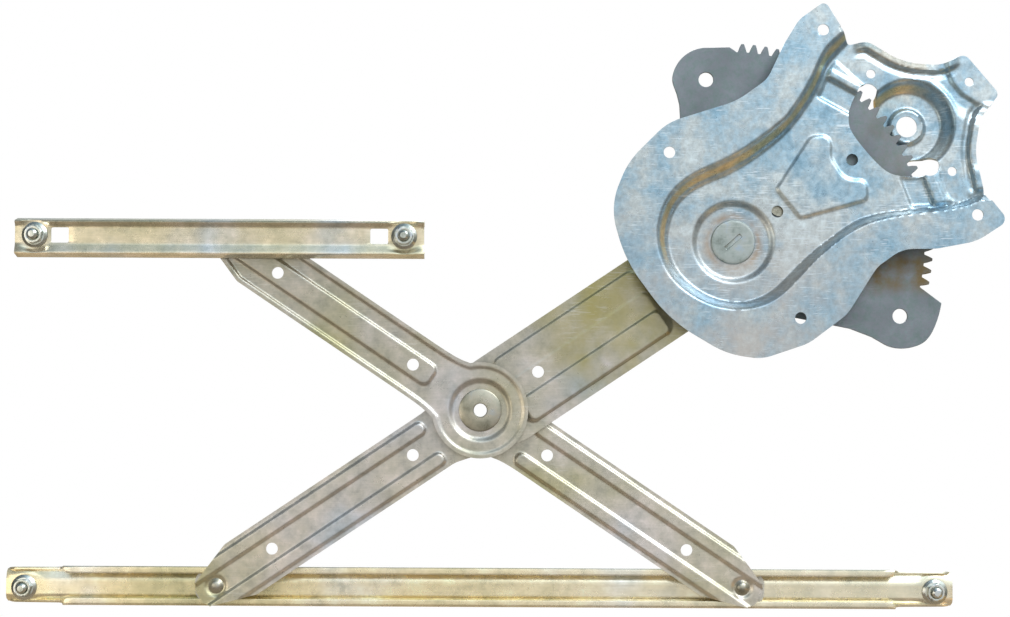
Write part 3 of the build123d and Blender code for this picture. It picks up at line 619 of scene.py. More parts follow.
def finish_gear(colours):
    f = Finish("Bare gear steel", 0.55)
    tint = f.ramp(f.noise(240.0, 6.0, 0.75), *tones(
        colours.gear, (0.34, (0.84, 0.94, 0.88)), (0.46, (0.96, 1.0, 1.0)),
        (0.56, (1.10, 1.0, 1.08)), (0.66, (1.02, 1.14, 1.12))))
    cloud = f.ramp(f.noise(40.0, 4.0, 0.6), (0.34, 0.86), (0.66, 1.12))
    tint = f.mix("MULTIPLY", 1.0, tint, cloud)
    # brown band across the right ear of the gear, in patches
    band = f.ramp(f.spread(f.axis("Z"), 0.0, 1.0, -0.070, -0.036),
                  (0.05, 0.0), (0.36, 1.0), (0.70, 1.0), (1.0, 0.25))
    side = f.spread(f.axis("X"), 0.0, 1.0, 0.012, 0.036)
    tint = f.lay_patches(tint, f.maths("MULTIPLY", band, side), (0.19, 0.135, 0.055), 0.95, 70.0)
    tint = f.scratches(tint, (0.36, 0.39, 0.41), 0.30)
    f.finish("gear", tint, f.spread(f.noise(120.0, 4.0, 0.6), 0.42, 0.58, 0.3, 0.7), 1100.0)


def finish_sheet(key, name, main, hues, rough, extra, specks=0.25, rolled=0.06, scratched=0.25):
    """Passivated sheet: wide drifts of hue, finer mottling, rolling lines, what extra lays over
    them, specks and scratches."""
    f = Finish(name, 0.68)
    tint = f.ramp(f.noise(13.0, 3.0, 0.55), *tones(main, *hues))
    mottle = f.ramp(f.noise(85.0, 6.0, 0.72), (0.34, (0.74, 0.76, 0.74)),
                    (0.45, (0.92, 0.93, 0.90)), (0.55, (1.05, 1.04, 1.02)),
                    (0.66, (1.24, 1.20, 1.20)))
    tint = f.mix("MULTIPLY", 1.0, tint, mottle)
    lines = f.noise(60.0, 3.0, 0.6, stretch=(1.0, 9.0, 22.0))
    tint = f.mix("MULTIPLY", 1.0, tint, f.ramp(lines, (0.3, 1 - rolled), (0.7, 1 + 0.5 * rolled)))
    tint = extra(f, tint)
    dots = f.ramp(f.noise(380.0, 4.0, 0.75), (0.64, 0.0), (0.72, 1.0))
    tint = f.mix("MIX", f.maths("MULTIPLY", dots, specks), tint, (0.20, 0.18, 0.13))
    tint = f.scratches(tint, (0.78, 0.77, 0.72), scratched)
    f.finish(key, tint, f.spread(f.noise(110.0, 4.0, 0.6), *rough, 0.3, 0.7))


def finish_arm(colours):
    def painted_light_and_olive_ring(f, tint):
        # painted light and shade by height: darker and more olive towards the top; olive patches
        # beside the base plate
        tint = f.mix("MULTIPLY", 1.0, tint, f.ramp(
            f.spread(f.axis("Z"), 0.0, 1.0, -0.25, -0.03), (0.0, (1.34, 1.33, 1.32)),
            (0.45, (1.14, 1.15, 1.17)), (1.0, (0.84, 0.85, 0.78))))
        ring = f.ramp(f.reach(PIVOT), (0.060, 1.0), (0.112, 1.0), (0.146, 0.0))
        return f.lay_patches(tint, ring, tuple(colours.arm_olive), 0.85, 24.0)
    finish_sheet("arm", "Zinc plated arm", colours.arm, (
        (0.34, (0.84, 0.83, 0.58)), (0.44, (0.96, 0.95, 0.86)), (0.52, (1.04, 1.02, 1.02)),
        (0.60, (1.08, 1.08, 1.18)), (0.68, (0.90, 1.05, 1.32))), (0.26, 0.40), painted_light_and_olive_ring)


def finish_rail(colours):
    def cooler_and_painted_light(f, tint):
        # less yellow to the right; painted light and shade by height: lighter on the lower rail and
        # duller on the upper one
        side = f.spread(f.axis("X"), 0.0, 1.0, -0.26, 0.06)
        tint = f.mix("MIX", f.maths("MULTIPLY", side, 0.45), tint, (0.66, 0.67, 0.64))
        up = f.spread(f.axis("Z"), 0.0, 1.0, -0.24, -0.03)
        return f.mix("MULTIPLY", 1.0, tint, f.ramp(up, (0.0, (1.22, 1.22, 1.20)),
                                                   (1.0, (0.88, 0.90, 0.94))))
    finish_sheet("rail", "Yellow passivated rail", colours.rail, (
        (0.32, (0.82, 0.84, 0.72)), (0.44, (1.0, 0.98, 0.88)), (0.54, (1.06, 1.04, 1.0)),
        (0.62, (1.0, 1.04, 1.18)), (0.70, (0.88, 1.02, 1.34))), (0.20, 0.32), cooler_and_painted_light,
        specks=0.10, rolled=0.10, scratched=0.12)


def finish_small(key, name, main, metallic, rough, scale=150.0):
    """Plating of the small turned pieces."""
    f = Finish(name, metallic)
    tint = f.ramp(f.noise(scale, 5.0, 0.65), *tones(
        main, (0.32, (0.60, 0.62, 0.56)), (0.46, (0.92, 0.94, 0.88)), (0.56, (1.08, 1.06, 1.0)),
        (0.68, (0.98, 1.06, 1.18))))
    tint = f.scratches(tint, (0.80, 0.80, 0.76), 0.2)
    f.finish(key, tint, f.spread(f.noise(scale * 1.7, 4.0, 0.6), *rough, 0.3, 0.7), 1300.0)


def finish_nylon(colours):
    f = Finish("Natural nylon")
    tint = f.ramp(f.noise(60.0, 4.0, 0.6), *tones(
        colours.nylon, (0.3, (0.93, 0.93, 0.92)), (0.7, (1.06, 1.06, 1.08))))
    f.shader.inputs["Subsurface Weight"].default_value = 0.08
    f.shader.inputs["Subsurface Radius"].default_value = (0.002, 0.002, 0.0015)
    f.finish("nylon", tint, f.spread(f.noise(200.0, 3.0), 0.38, 0.5), 1600.0, 0.12, 0.00004)


class REGULATOR_OT_finishes(bpy.types.Operator):
    """Make the finishes of the plate, gear, arms, rails and small pieces"""
    bl_idname = "regulator.finishes"
    bl_label = "Finishes"

    def execute(self, context):
        colours = context.scene.regulator_colours
        finish_plate(colours)
        finish_gear(colours)
        finish_arm(colours)
        finish_rail(colours)
        finish_small("nut", "Bright plated nut", colours.nut, 0.85, (0.16, 0.28))
        finish_small("steel", "Zinc plated pin", colours.pin, 0.72, (0.24, 0.40), 110.0)
        finish_small("head", "Riveted head", colours.head, 0.66, (0.34, 0.50), 120.0)
        finish_small("bronze", "Sintered bronze", colours.bronze, 0.75, (0.40, 0.55), 200.0)
        finish_nylon(colours)
        return {"FINISHED"}


# ---------------------------------------------------------------------------- base plate
OUTLINE = [
    ((-14.5, 99.0), 18), ((1.2, 110.5), 3.5), ((16.8, 85.4), 2), ((28.0, 87.5), 10),
    ((50.0, 74.2), 45), ((74.0, 73.2), 30), ((87.3, 80.6), 5), ((108.2, 56.0), 4),
    ((96.0, 41.0), 25), ((92.6, 20.0), 40), ((98.4, -6.5), 6), ((110.8, -21.8), 5),
    ((92.0, -34.2), 30), ((68.0, -38.8), 25), ((47.0, -39.2), 22), ((32.0, -50.0), 20),
    ((14.0, -78.5), 25), ((-9.0, -96.0), 30), ((-37.0, -105.5), 25), ((-58.0, -102.5), 60),
    ((-92.0, -82.5), 85), ((-118.5, -47.0), 85), ((-128.0, -14.0), 60), ((-117.0, 13.0), 50),
    ((-93.5, 36.5), 35), ((-52.0, 49.6), 45), ((-33.5, 63.0), 18), ((-23.0, 85.0), 25),
]
WALL_TOP = [
    (10.5, 91.7), (6.1, 88.1), (1.5, 83.3), (-1.5, 78.5), (-4.1, 73.4), (-6.3, 68.3),
    (-9.3, 62.3), (-13.7, 54.5), (-19.2, 46.4), (-25.4, 38.9), (-45.3, 23.9), (-59.3, 15.6),
    (-72.5, 9.5), (-81.8, 4.2), (-90.3, -3.1), (-96.3, -12.1), (-99.6, -22.0), (-100.7, -31.8),
    (-98.9, -42.7), (-94.5, -53.5), (-87.2, -62.2), (-77.7, -69.1), (-67.2, -73.9),
    (-56.7, -76.0), (-46.1, -76.0), (-36.4, -73.7), (-28.5, -69.8), (-20.7, -63.5),
    (-12.9, -55.3), (-3.9, -45.7), (4.5, -38.2), (14.7, -30.5), (26.7, -24.4), (39.9, -20.7),
    (53.1, -18.4), (66.3, -16.7), (78.9, -14.7), (87.9, -12.3), (95.3, -9.1),
]
WALL_FOOT = [
    (19.5, 89.0), (14.3, 83.2), (9.6, 78.2), (5.6, 73.6), (3.1, 68.9), (1.2, 63.6), (-1.2, 57.9),
    (-4.6, 52.0), (-8.8, 45.9), (-13.2, 39.7), (-23.4, 28.2), (-39.6, 15.3), (-55.3, 5.9),
    (-69.0, 0.0), (-78.3, -5.1), (-85.6, -12.3), (-90.0, -21.2), (-91.7, -29.9), (-91.3, -38.2),
    (-88.8, -46.4), (-83.9, -54.3), (-76.5, -61.3), (-67.7, -66.6), (-58.2, -69.8),
    (-49.0, -70.7), (-40.0, -69.0), (-31.8, -65.0), (-24.4, -59.0), (-17.2, -51.6), (-9.6, -44.2),
    (-2.1, -37.8), (6.3, -31.5), (14.8, -25.2), (23.9, -20.0), (37.8, -16.3), (55.3, -14.2),
    (72.9, -12.6), (86.0, -9.5), (95.5, -5.0),
]
WINDOW_SIDE = [(21.9, 56.6), (18.4, 48.7), (16.8, 41.8), (18.8, 32.4), (29.9, 17.9), (40.2, 8.4),
               (49.9, 5.6), (59.9, 5.2), (63.2, 6.4)]
PAD_UPPER = [(24.7, 61.6), (9.6, 75.2), (9.4, 79.5), (16.0, 87.0), (60, 92), (60, 52)]
PAD_LOWER = [(71.6, 17.0), (72.0, 5.0), (75.4, -4.8), (79.4, -9.4), (84.5, -9.8), (89.6, -7.0),
             (88.1, 9.7), (86.4, 16.6), (81.4, 19.4), (75.2, 19.0)]
PAD_CORNER = [(75.4, 76.0), (76.6, 70.3), (79.6, 62.8), (85.4, 55.9), (95.3, 49.6), (125, 40),
              (125, 100), (74, 100)]
EMBOSS = [((-27.0, -2.5), 2), ((-6.0, 29.8), 6), ((6.2, 30.2), 6), ((6.0, 16.5), 9),
          ((14.5, 3.2), 12), ((27.6, 3.4), 5), ((28.0, -8.8), 4), ((-12.6, -20.2), 2.5)]
# pressed steps above and below the window: the direction across them, their pad's outline and
# the width of its edge, then for each step a point on it, its height and its width
STEPPED = {
    "upper": ((0.480, 0.877), PAD_UPPER, 2.0,
              [((-3.3, 54.8), 1.5, 2.4), ((2.7, 66.3), -3.0, 2.8), ((5.1, 71.1), 0.75, 2.0)]),
    "lower": ((0.933, 0.360), PAD_LOWER, 2.2,
              [((48.1, 4.6), 1.5, 2.4), ((62.0, 4.6), -3.0, 2.8), ((68.6, 7.3), 0.75, 2.0)]),
}
PAD_HEIGHT = 0.75
BOWL_RIM = 28.6             # radii about the shaft
BOWL_SLOPE = 8.6
COLLAR = 12.2
SEAT_RIM = 25.6             # radius about the main pivot
DOOR_HOLE = 3.5
MOTOR_HOLE = 2.8
SMALL_HOLE = 3.6
SHAFT_HOLE = 6.4
RIVET_HOLE = 8.0
PLATE_HOLES = (
    (DOOR_HOLE, ((0, 0, 188.4, -11.3), (-6.8, 6.1, 174.4, 85.4)), ()),
    (MOTOR_HOLE, ((54.9, 38.4, 76.8, -50.4),), ((90.0, 63.3),)),
    (SMALL_HOLE, (), ((18.9, 15.6), (-26.4, -16.1))),
    (SHAFT_HOLE, (), (SHAFT,)), (RIVET_HOLE, (), (PIVOT,)),
)


def plate_depth(points):
    x, z = points.T
    r_shaft = np.hypot(x - SHAFT[0], z - SHAFT[1])
    r_pivot = np.hypot(x - PIVOT[0], z - PIVOT[1])
    # how far down the recess's wall: 0 on the rim, 1 on the floor
    top, foot = flowing(WALL_TOP, 1.2), flowing(WALL_FOOT, 1.2)
    close = [(150, -9), (150, 150), (10.5, 150)]
    d_top, d_foot = away(points, top), away(points, foot)
    down = d_top / np.maximum(d_top + d_foot, 1e-6)
    down = np.where(within(points, np.vstack([foot, close])), 1.0,
                    np.where(within(points, np.vstack([top, close])), down, 0.0))
    inset = ease(np.where(down > 0.999, d_foot, 0) / 3.0)
    y = np.zeros(len(points))
    masks = {"upper": ease((34 - x) / 6) * ease((z - 38) / 6) * ease((r_shaft - 29) / 5),
             "lower": ease((x - 40) / 5) * ease((14 - z) / 6) * ease((r_shaft - 29) / 5)}
    for side, ((nx, nz), pad, edge_width, steps) in STEPPED.items():
        for (px, pz), step, width in steps:
            s = (x - px) * nx + (z - pz) * nz
            y += step * ease(s / width + 0.5) * masks[side] * inset
        on_pad = ease(0.5 - signed(points, np.array(pad)) / edge_width)
        y += PAD_HEIGHT * on_pad * masks[side] * inset
    # pad of the corner screw, and the raised outline in the middle
    corner_pad = signed(points, np.array(PAD_CORNER, float))
    y += 1.3 * ease(corner_pad / 2.4 + 0.5) * (1 - ease((corner_pad - 5) / 9)) \
        * ease((r_shaft - 28) / 4) * (x > 50) * inset
    y -= 1.1 * ease(0.5 - signed(points, rounded(EMBOSS)) / 2.4)
    # stiffened rim along the two hollow edges of the motor's corner
    edge = away(points, rounded(OUTLINE), True)
    along = ease((x - 19) / 8) * ease((86 - x) / 9) * (z > 60) + \
        (x > 84) * ease((52 - z) / 7) * ease((z + 6) / 5)
    y += (0.9 * ease((9.5 - edge) / 3) - 3.3 * ease((5.6 - edge) / 2.4)) * along
    # bowl of the pinion bearing with its collar, and the seat of the main pivot
    bowl = ease((BOWL_RIM - r_shaft) / BOWL_SLOPE)
    y = np.where(r_shaft < BOWL_RIM, y * (1 - bowl) + BOWL_DEPTH * bowl, y)
    y -= 2.0 * ease((COLLAR - r_shaft) / 3.2) - 0.35 * ease((9.6 - r_shaft) / 1.2)
    y += (PIVOT_SEAT - RECESS) * ease((SEAT_RIM - r_pivot) / 4.4)
    return RECESS * ease(down) + y * ease((down - 0.8) / 0.2)


def hole_pair(mx, mz, distance, angle):
    """Two places about a middle, a distance apart along an angle in degrees."""
    dx, dz = (distance / 2 * f(math.radians(angle)) for f in (math.cos, math.sin))
    return [(mx - dx, mz - dz), (mx + dx, mz + dz)]


class REGULATOR_OT_base_plate(bpy.types.Operator):
    """Press the base plate with its recess, steps, seat and the bowl for the motor's shaft"""
    bl_idname = "regulator.base_plate"
    bl_label = "Base plate"

    def execute(self, context):
        sizes = context.scene.regulator_sizes
        holes = [ring(place, radius, 0.6) for radius, pairs, single in PLATE_HOLES
                 for place in sum((hole_pair(*pair) for pair in pairs), []) + list(single)]
        window = np.vstack([
            flowing(WINDOW_SIDE, 0.9), ring((65.6, 11.9), 6.0, 0.8, -100, 215),
            ring(SHAFT, 20.6, 0.9, -80, -127), ring((28.4, 55.4), 6.6, 0.8, -35, 205)])
        holes.append(even(window, 0.9, True))
        piece = press("Base_plate", rounded(OUTLINE, 0.9), holes, plate_depth,
                      sizes.plate_sheet / MM, sizes.broken_edge)
        put(piece, "base", "plate", "plate", "base_plate")
        return {"FINISHED"}


# ---------------------------------------------------------------------------- arms
def wall(t, fillet=0.28):
    """Straight wall from 0 to 1 with a fillet at its foot and its top."""
    t = np.clip(t, 0, 1)
    k = 1 / (2 * fillet * (1 - fillet))
    return np.where(t < fillet, k * t * t, np.where(
        t > 1 - fillet, 1 - k * (1 - t) ** 2, k * fillet * (2 * t - fillet)))


def slot_distance(u, v, u1, u2, v1, v2, radius):
    """Signed distance to a rectangle with rounded corners in local axes."""
    cu, cv = (u1 + u2) / 2, (v1 + v2) / 2
    qu = np.abs(u - cu) - (u2 - u1) / 2 + radius
    qv = np.abs(v - cv) - (v2 - v1) / 2 + radius
    outside = np.hypot(np.maximum(qu, 0), np.maximum(qv, 0))
    return outside + np.minimum(np.maximum(qu, qv), 0) - radius


def raised(u, v, box, radius=3.5, width=2.0):
    """1 on a raised field given as (u1, u2, v1, v2), 0 off it, with a wall of a width between."""
    return wall(0.5 - slot_distance(u, v, *box, radius) / width)


LIFT_ANGLE = math.pi + SLOPE
ARM_HALF = 18.0
HOLE = 3.6
FIRST_HOLE = 49
LAST_HOLE = 151
UPPER_LAST_HOLE = 148
BEADS = ((7.0, 14.9), (-14.9, -7.0))
DISC = 29.0
DISH_EDGE = 19.6


def arm_beads(u, v, start, reach, height):
    """Two long beads that run out over the arm's snub end, and the dimple round its pin."""
    y = np.zeros(len(u))
    for v1, v2 in BEADS:
        y -= height * raised(u, v, (start, reach + 30, v1, v2))
    return y + 1.0 * wall((6.8 - np.hypot(u - reach, v)) / 1.8)


def lift_depth(height):
    def depth(points):
        u, v = local(points, PIVOT, LIFT_ANGLE)
        y = LIFT_FRONT + arm_beads(u, v, UPPER_LINK + 34, UPPER_LINK + LOWER_LINK, height)
        y -= 0.9 * raised(u, v, (58, 163, -20.4, 24.4), 6, 1.6)
        y -= 0.25 * raised(u, v, (60, 161, -4.8, 24.2), 4, 1.2)
        y -= 0.9 * raised(u, v, (60, 161, 8.4, 24.0), 4, 1.5)
        return y
    return depth


def tip(reach):
    """Corners of an arm's snub end round its slider pin."""
    return [((reach - 18, ARM_HALF), 5), ((reach + 8.4, 8.6), 3.5), ((reach + 12, 4.5), 3.5),
            ((reach + 12, -4.5), 3.5), ((reach + 8.4, -8.6), 3.5), ((reach - 18, -ARM_HALF), 5)]


def half_outline(reach):
    """Outline of a cross arm half with the disc round the scissor centre, in local axes."""
    neck = np.array([(20.8, 20.2), (26.5, 18.9), (34, 18.2), (44, ARM_HALF)])
    end = rounded([((44, ARM_HALF), 0)] + tip(reach) + [((44, -ARM_HALF), 0)], 1.1)
    end = end[(end[:, 0] > 44.5) | (np.abs(end[:, 1]) > ARM_HALF - 0.1)]
    return even(np.vstack([ring((0, 0), DISC, 1.1, 45, 270), flowing(neck * (1, -1), 1.1),
                           end[::-1], flowing(neck, 1.1)[::-1]]), 1.1, True)


def upper_half_depth(height, dish):
    front = LIFT_FRONT - DISC_GAP - dish
    edge_line = placed(half_outline(UPPER_LINK), CENTRE, math.pi - SLOPE)

    def depth(points):
        u, v = local(points, CENTRE, math.pi - SLOPE)
        r = np.hypot(u, v)
        bed = 0.8 + (height - 0.8) * ease((u - 24) / 12)
        bed *= wall((away(points, edge_line, True) - 2.2) / 1.9)
        web = raised(u, v, (35, UPPER_LINK + 30, -6.9, 6.9), 4.5, 2.0)
        end = ease((u - (UPPER_LINK - 10)) / 8)
        seat = wall((DISH_EDGE - r) / 3.6)
        return (front + bed * (1 - web) * (1 - end)) * (1 - seat) + (front + dish) * seat
    return depth


def lower_half_depth(height, dish):
    front = LIFT_BACK + CENTRE_WASHER + dish

    def depth(points):
        u, v = local(points, CENTRE, -SLOPE)
        y = front + arm_beads(u, v, 34, LOWER_LINK, height)
        seat = wall((DISH_EDGE - np.hypot(u, v)) / 3.6)
        return y * (1 - seat) + (front - dish) * seat
    return depth


def arm_holes(rows):
    return [ring((u, 0), r, 0.7) for u, r in rows]


class REGULATOR_OT_lift_arm(bpy.types.Operator):
    """Press the lift arm, wide from the pivot to the scissor centre and narrow beyond it"""
    bl_idname = "regulator.lift_arm"
    bl_label = "Lift arm"

    def execute(self, context):
        sizes = context.scene.regulator_sizes
        end = UPPER_LINK + LOWER_LINK
        corners = [((-24, -26.5), 24), ((-24, 30), 24), ((UPPER_LINK - 12, 30), 20),
                   ((UPPER_LINK + 30, ARM_HALF), 20)] + tip(end) + \
            [((UPPER_LINK + 30, -ARM_HALF), 20), ((UPPER_LINK - 12, -26.5), 20)]
        holes = arm_holes(((0, 10.0), (UPPER_LINK, 8.0), (UPPER_LINK - 42, HOLE),
                           (UPPER_LINK + FIRST_HOLE, HOLE), (UPPER_LINK + LAST_HOLE, HOLE),
                           (end, HOLE)))
        piece = press("Lift_arm", rounded(corners, 1.1), holes, lift_depth(sizes.bead_height / MM),
                      sizes.arm_sheet / MM, sizes.broken_edge, PIVOT, LIFT_ANGLE, 0.62, 0.72)
        put(piece, "lift_arm", "arm", "arm", "lift_arm")
        return {"FINISHED"}


class REGULATOR_OT_cross_arm(bpy.types.Operator):
    """Press the two halves of the cross arm, one before and one behind the lift arm"""
    bl_idname = "regulator.cross_arm"
    bl_label = "Cross arm"

    def execute(self, context):
        sizes = context.scene.regulator_sizes
        height, dish = sizes.bead_height / MM, sizes.disc_dish / MM
        halves = (("Upper_cross_arm", math.pi - SLOPE, UPPER_LINK, UPPER_LAST_HOLE,
                   upper_half_depth(height, dish), "cross_arm_upper"),
                  ("Lower_cross_arm", -SLOPE, LOWER_LINK, LAST_HOLE,
                   lower_half_depth(height, dish), "cross_arm_lower"))
        for name, angle, reach, last, depth, node in halves:
            holes = arm_holes(((0, 8.0), (FIRST_HOLE, HOLE), (last, HOLE), (reach, HOLE)))
            piece = press(name, half_outline(reach), holes, depth, sizes.arm_sheet / MM,
                          sizes.broken_edge, CENTRE, angle, 0.72, 0.76)
            put(piece, "cross_arm", "arm", "arm", node)
        return {"FINISHED"}


# ---------------------------------------------------------------------------- pivots
class REGULATOR_OT_main_pivot(bpy.types.Operator):
    """Turn the main pivot's head and stud and press the tool's slot in it"""
    bl_idname = "regulator.main_pivot"
    bl_label = "Main pivot"

    def execute(self, context):
        sizes = context.scene.regulator_sizes
        front = PIVOT_SEAT - 1.7
        piece = turned("Main_pivot_head", [
            (0, front + 0.15), (6, front + 0.1), (11.6, front), (12.9, front + 0.2),
            (13.45, front + 0.7), (13.5, PIVOT_SEAT), (8.0, PIVOT_SEAT), (8.0, 19.7), (10.5, 19.7),
            (10.5, 20.2), (10.1, 20.7), (0, 20.7)], PIVOT)
        tool = primitive(
            "cube", "Slot", size=1, location=(PIVOT[0] * MM, (front - 0.3) * MM, PIVOT[1] * MM),
            rotation=(0, -math.radians(42), 0), scale=(sizes.tool_slot, 1.9 * MM, 3.0 * MM))
        soften(tool, 0.8 * MM, 40)
        combine(piece, tool, "DIFFERENCE")
        soften(piece, sizes.broken_edge, 30)
        shade(piece, 30, True)
        put(piece, "base", "steel", "head", "pivot_stud")
        return {"FINISHED"}


class REGULATOR_OT_centre_rivet(bpy.types.Operator):
    """Turn the hollow rivet that holds the three arms together"""
    bl_idname = "regulator.centre_rivet"
    bl_label = "Centre rivet"

    def execute(self, context):
        seat = LIFT_FRONT - DISC_GAP
        front, back = seat - 1.6, LIFT_BACK + 3.2
        piece = turned("Centre_rivet", [
            (4.0, front + 0.5), (4.5, front), (11.9, front), (12.7, front + 0.35),
            (12.9, front + 1.0), (12.9, seat), (8.0, seat), (8.0, back),
            (11.9, back), (11.9, back + 0.6), (11.2, back + 1.3), (4.3, back + 1.4),
            (4.0, back + 1.1), (4.0, front + 0.5)], CENTRE)
        shade(piece, 35)
        put(piece, "cross_arm", "steel", "steel", "centre_rivet")
        return {"FINISHED"}


class REGULATOR_OT_slider_pins(bpy.types.Operator):
    """Turn the two slider pins, their heads domed over in the arms' dimples"""
    bl_idname = "regulator.slider_pins"
    bl_label = "Slider pins"

    def execute(self, context):
        rows = (("Left_slider_pin", LEFT_PIN, LIFT_FRONT + 1.0, "lift_arm", "left_slider_pin"),
                ("Right_slider_pin", RIGHT_PIN, LIFT_BACK + 4.6, "cross_arm", "right_slider_pin"))
        for name, place, seat, body, node in rows:
            piece = turned(name, [(0, seat - 2.1), (1.2, seat - 2.0), (2.4, seat - 1.65),
                                  (3.3, seat - 1.1), (3.8, seat - 0.5), (4.3, seat - 0.35),
                                  (4.7, seat), (4.0, seat + 0.3), (4.0, PIN_BACK),
                                  (0, PIN_BACK)],
                           place, 64)
            shade(piece, 55)
            put(piece, body, "steel", "steel", node)
        return {"FINISHED"}


# ---------------------------------------------------------------------------- rails
UPPER_RAIL_X = (-485.5, -239.5)
GLASS_RAIL_X = (-495.0, 83.0)
RAIL_HALF = 12.2
WEB_HALF = 9.9
LIP = 4.6
STRIP_DEPTH = 2.0           # of the middle strip, behind the web's face
SECTION_DEPTH = 10.0
GROOVE_FOOT = 9.3           # height at which the groove beside the strip begins


def rail_path(rise, half_strip=5.2):
    """Outer line of a rail's section: (depth from the web's face, height), lip to lip."""
    upper = [((SECTION_DEPTH, RAIL_HALF - LIP), 0), ((SECTION_DEPTH, RAIL_HALF), 1.2),
             ((0.0, WEB_HALF), 1.0), ((0.0, GROOVE_FOOT), 1.0)]
    strip = [((STRIP_DEPTH, half_strip + rise), 1.4), ((STRIP_DEPTH, rise - half_strip), 1.4)]
    lower = [((depth, -height), radius) for (depth, height), radius in reversed(upper)]
    return rounded_open(upper + strip + lower, 0.55)


def rounded_open(corners, step):
    """Open line through corners, each rounded by its own radius."""
    path = [np.array(corners[0][0], float)]
    for i in range(1, len(corners) - 1):
        p, a, b, room, half_turn = corner(corners, i)
        cut = min(corners[i][1] * math.tan(half_turn), 0.45 * room)
        for t in np.arange(5) / 4:
            path.append((1 - t) ** 2 * (p + a * cut) + 2 * t * (1 - t) * p + t * t * (p + b * cut))
    path.append(np.array(corners[-1][0], float))
    return even(np.array(path), step)


def fold(name, outline, holes, path, to_frame, thickness, edge):
    """Blank in (length, run along the section) folded to a section path."""
    stretch = np.array([0.25, 1.0])
    flat, faces = cut_blank(outline * stretch, [h * stretch for h in holes], 0.95)
    flat = flat / stretch
    runs = runs_along(path)

    def surface(points):
        return to_frame(points[:, 0], np.interp(points[:, 1], runs, path[:, 0]),
                        np.interp(points[:, 1], runs, path[:, 1]))
    piece = shell(name, flat, faces, surface, thickness)
    soften(piece, edge)
    shade(piece)
    return piece


def runs_along(path):
    """Distance of each point from the path's start, along the path."""
    return np.r_[0, np.cumsum(np.linalg.norm(np.diff(path, axis=0), axis=1))]


def run_at(path, height):
    """How far along the section the middle strip reaches a height, and the section's length."""
    runs = runs_along(path)
    strip = np.abs(path[:, 0] - STRIP_DEPTH) < 0.05
    order = np.argsort(path[strip, 1])
    return float(np.interp(height, path[strip, 1][order], runs[strip][order])), float(runs[-1])


def pads(x, height, places, inner, slope):
    """How much of each point lies on a flat round pad."""
    near = np.min([np.hypot(x - px, height - pz) for px, pz in places], axis=0)
    return ease((inner + slope - near) / slope)


def make_rail(name, node, body, sizes, outline, holes, path, studs, to_depth, height):
    """Folds a rail with a flat pad round each stud; to_depth turns a depth in the section into one
    in the frame, and height is the rail's own."""
    def to_frame(x, depth, z):
        flat = pads(x, z, studs, 8.4, 2.8) * (depth < STRIP_DEPTH + 0.3)
        return np.c_[x, to_depth(depth * (1 - flat) + STRIP_DEPTH * flat), height + z]
    sheet = sizes.rail_sheet / MM
    towards = 1 if to_depth(1.0) > to_depth(0.0) else -1
    piece = fold(name, outline, holes, path, to_frame, sheet * towards, sizes.broken_edge)
    put(piece, body, "rail", "rail", node)


class REGULATOR_OT_upper_rail(bpy.types.Operator):
    """Fold the short guide rail that is bolted to the door"""
    bl_idname = "regulator.upper_rail"
    bl_label = "Upper guide rail"

    def execute(self, context):
        path = rail_path(UPPER_STRIP)
        middle, total = run_at(path, UPPER_STRIP)
        x0, x1 = UPPER_RAIL_X
        outline = even(np.array([(x0, 0), (x1, 0), (x1, total), (x0, total)], float), 0.9, True)
        studs = [(x0 + 12, UPPER_STRIP), (x1 - 12, UPPER_STRIP)]
        holes = [ring((x, middle), 3.0, 0.6) for x, _ in studs]
        for x in (x0 + 27, x1 - 27):
            holes.append(rounded([((x + dx, middle + dz), 1) for dx, dz in
                                  ((-5.4, -4.65), (5.4, -4.65), (5.4, 4.65), (-5.4, 4.65))], 0.6))
        make_rail("Upper_guide_rail", "upper_rail", "base", context.scene.regulator_sizes, outline,
                  holes, path, studs, lambda depth: depth, UPPER_RAIL_Z)
        return {"FINISHED"}


class REGULATOR_OT_glass_rail(bpy.types.Operator):
    """Fold the long rail that carries the glass"""
    bl_idname = "regulator.glass_rail"
    bl_label = "Glass rail"

    def execute(self, context):
        path = rail_path(GLASS_STRIP, 4.6)
        middle, total = run_at(path, GLASS_STRIP)
        x0, x1 = GLASS_RAIL_X
        lip0, lip1 = x0 + 37.5, x1 - 37.5
        low = LIP + 5.0
        outline = rounded([
            ((x0, low + 1), 7), ((lip0 - 3, low), 3), ((lip0, 0), 2), ((lip1, 0), 2),
            ((lip1 + 3, low), 3), ((x1, low + 1), 7), ((x1, total - low - 1), 7),
            ((lip1 + 3, total - low), 3), ((lip1, total), 2), ((lip0, total), 2),
            ((lip0 - 3, total - low), 3), ((x0, total - low - 1), 7)], 0.9)
        studs = [(x0 + 11, GLASS_STRIP), (x1 - 11, GLASS_STRIP)]
        holes = [ring((x, middle), 3.0, 0.6) for x, _ in studs]
        make_rail("Glass_rail", "glass_rail", "glass_rail", context.scene.regulator_sizes, outline,
                  holes, path, studs, lambda depth: GLASS_BACK - depth, GLASS_RAIL_Z)
        return {"FINISHED"}


# ---------------------------------------------------------------------------- nuts and studs
NUT_HEIGHT = 6.4
THREAD_START, THREAD_END, STUD_END = -6.2, -9.5, -9.95


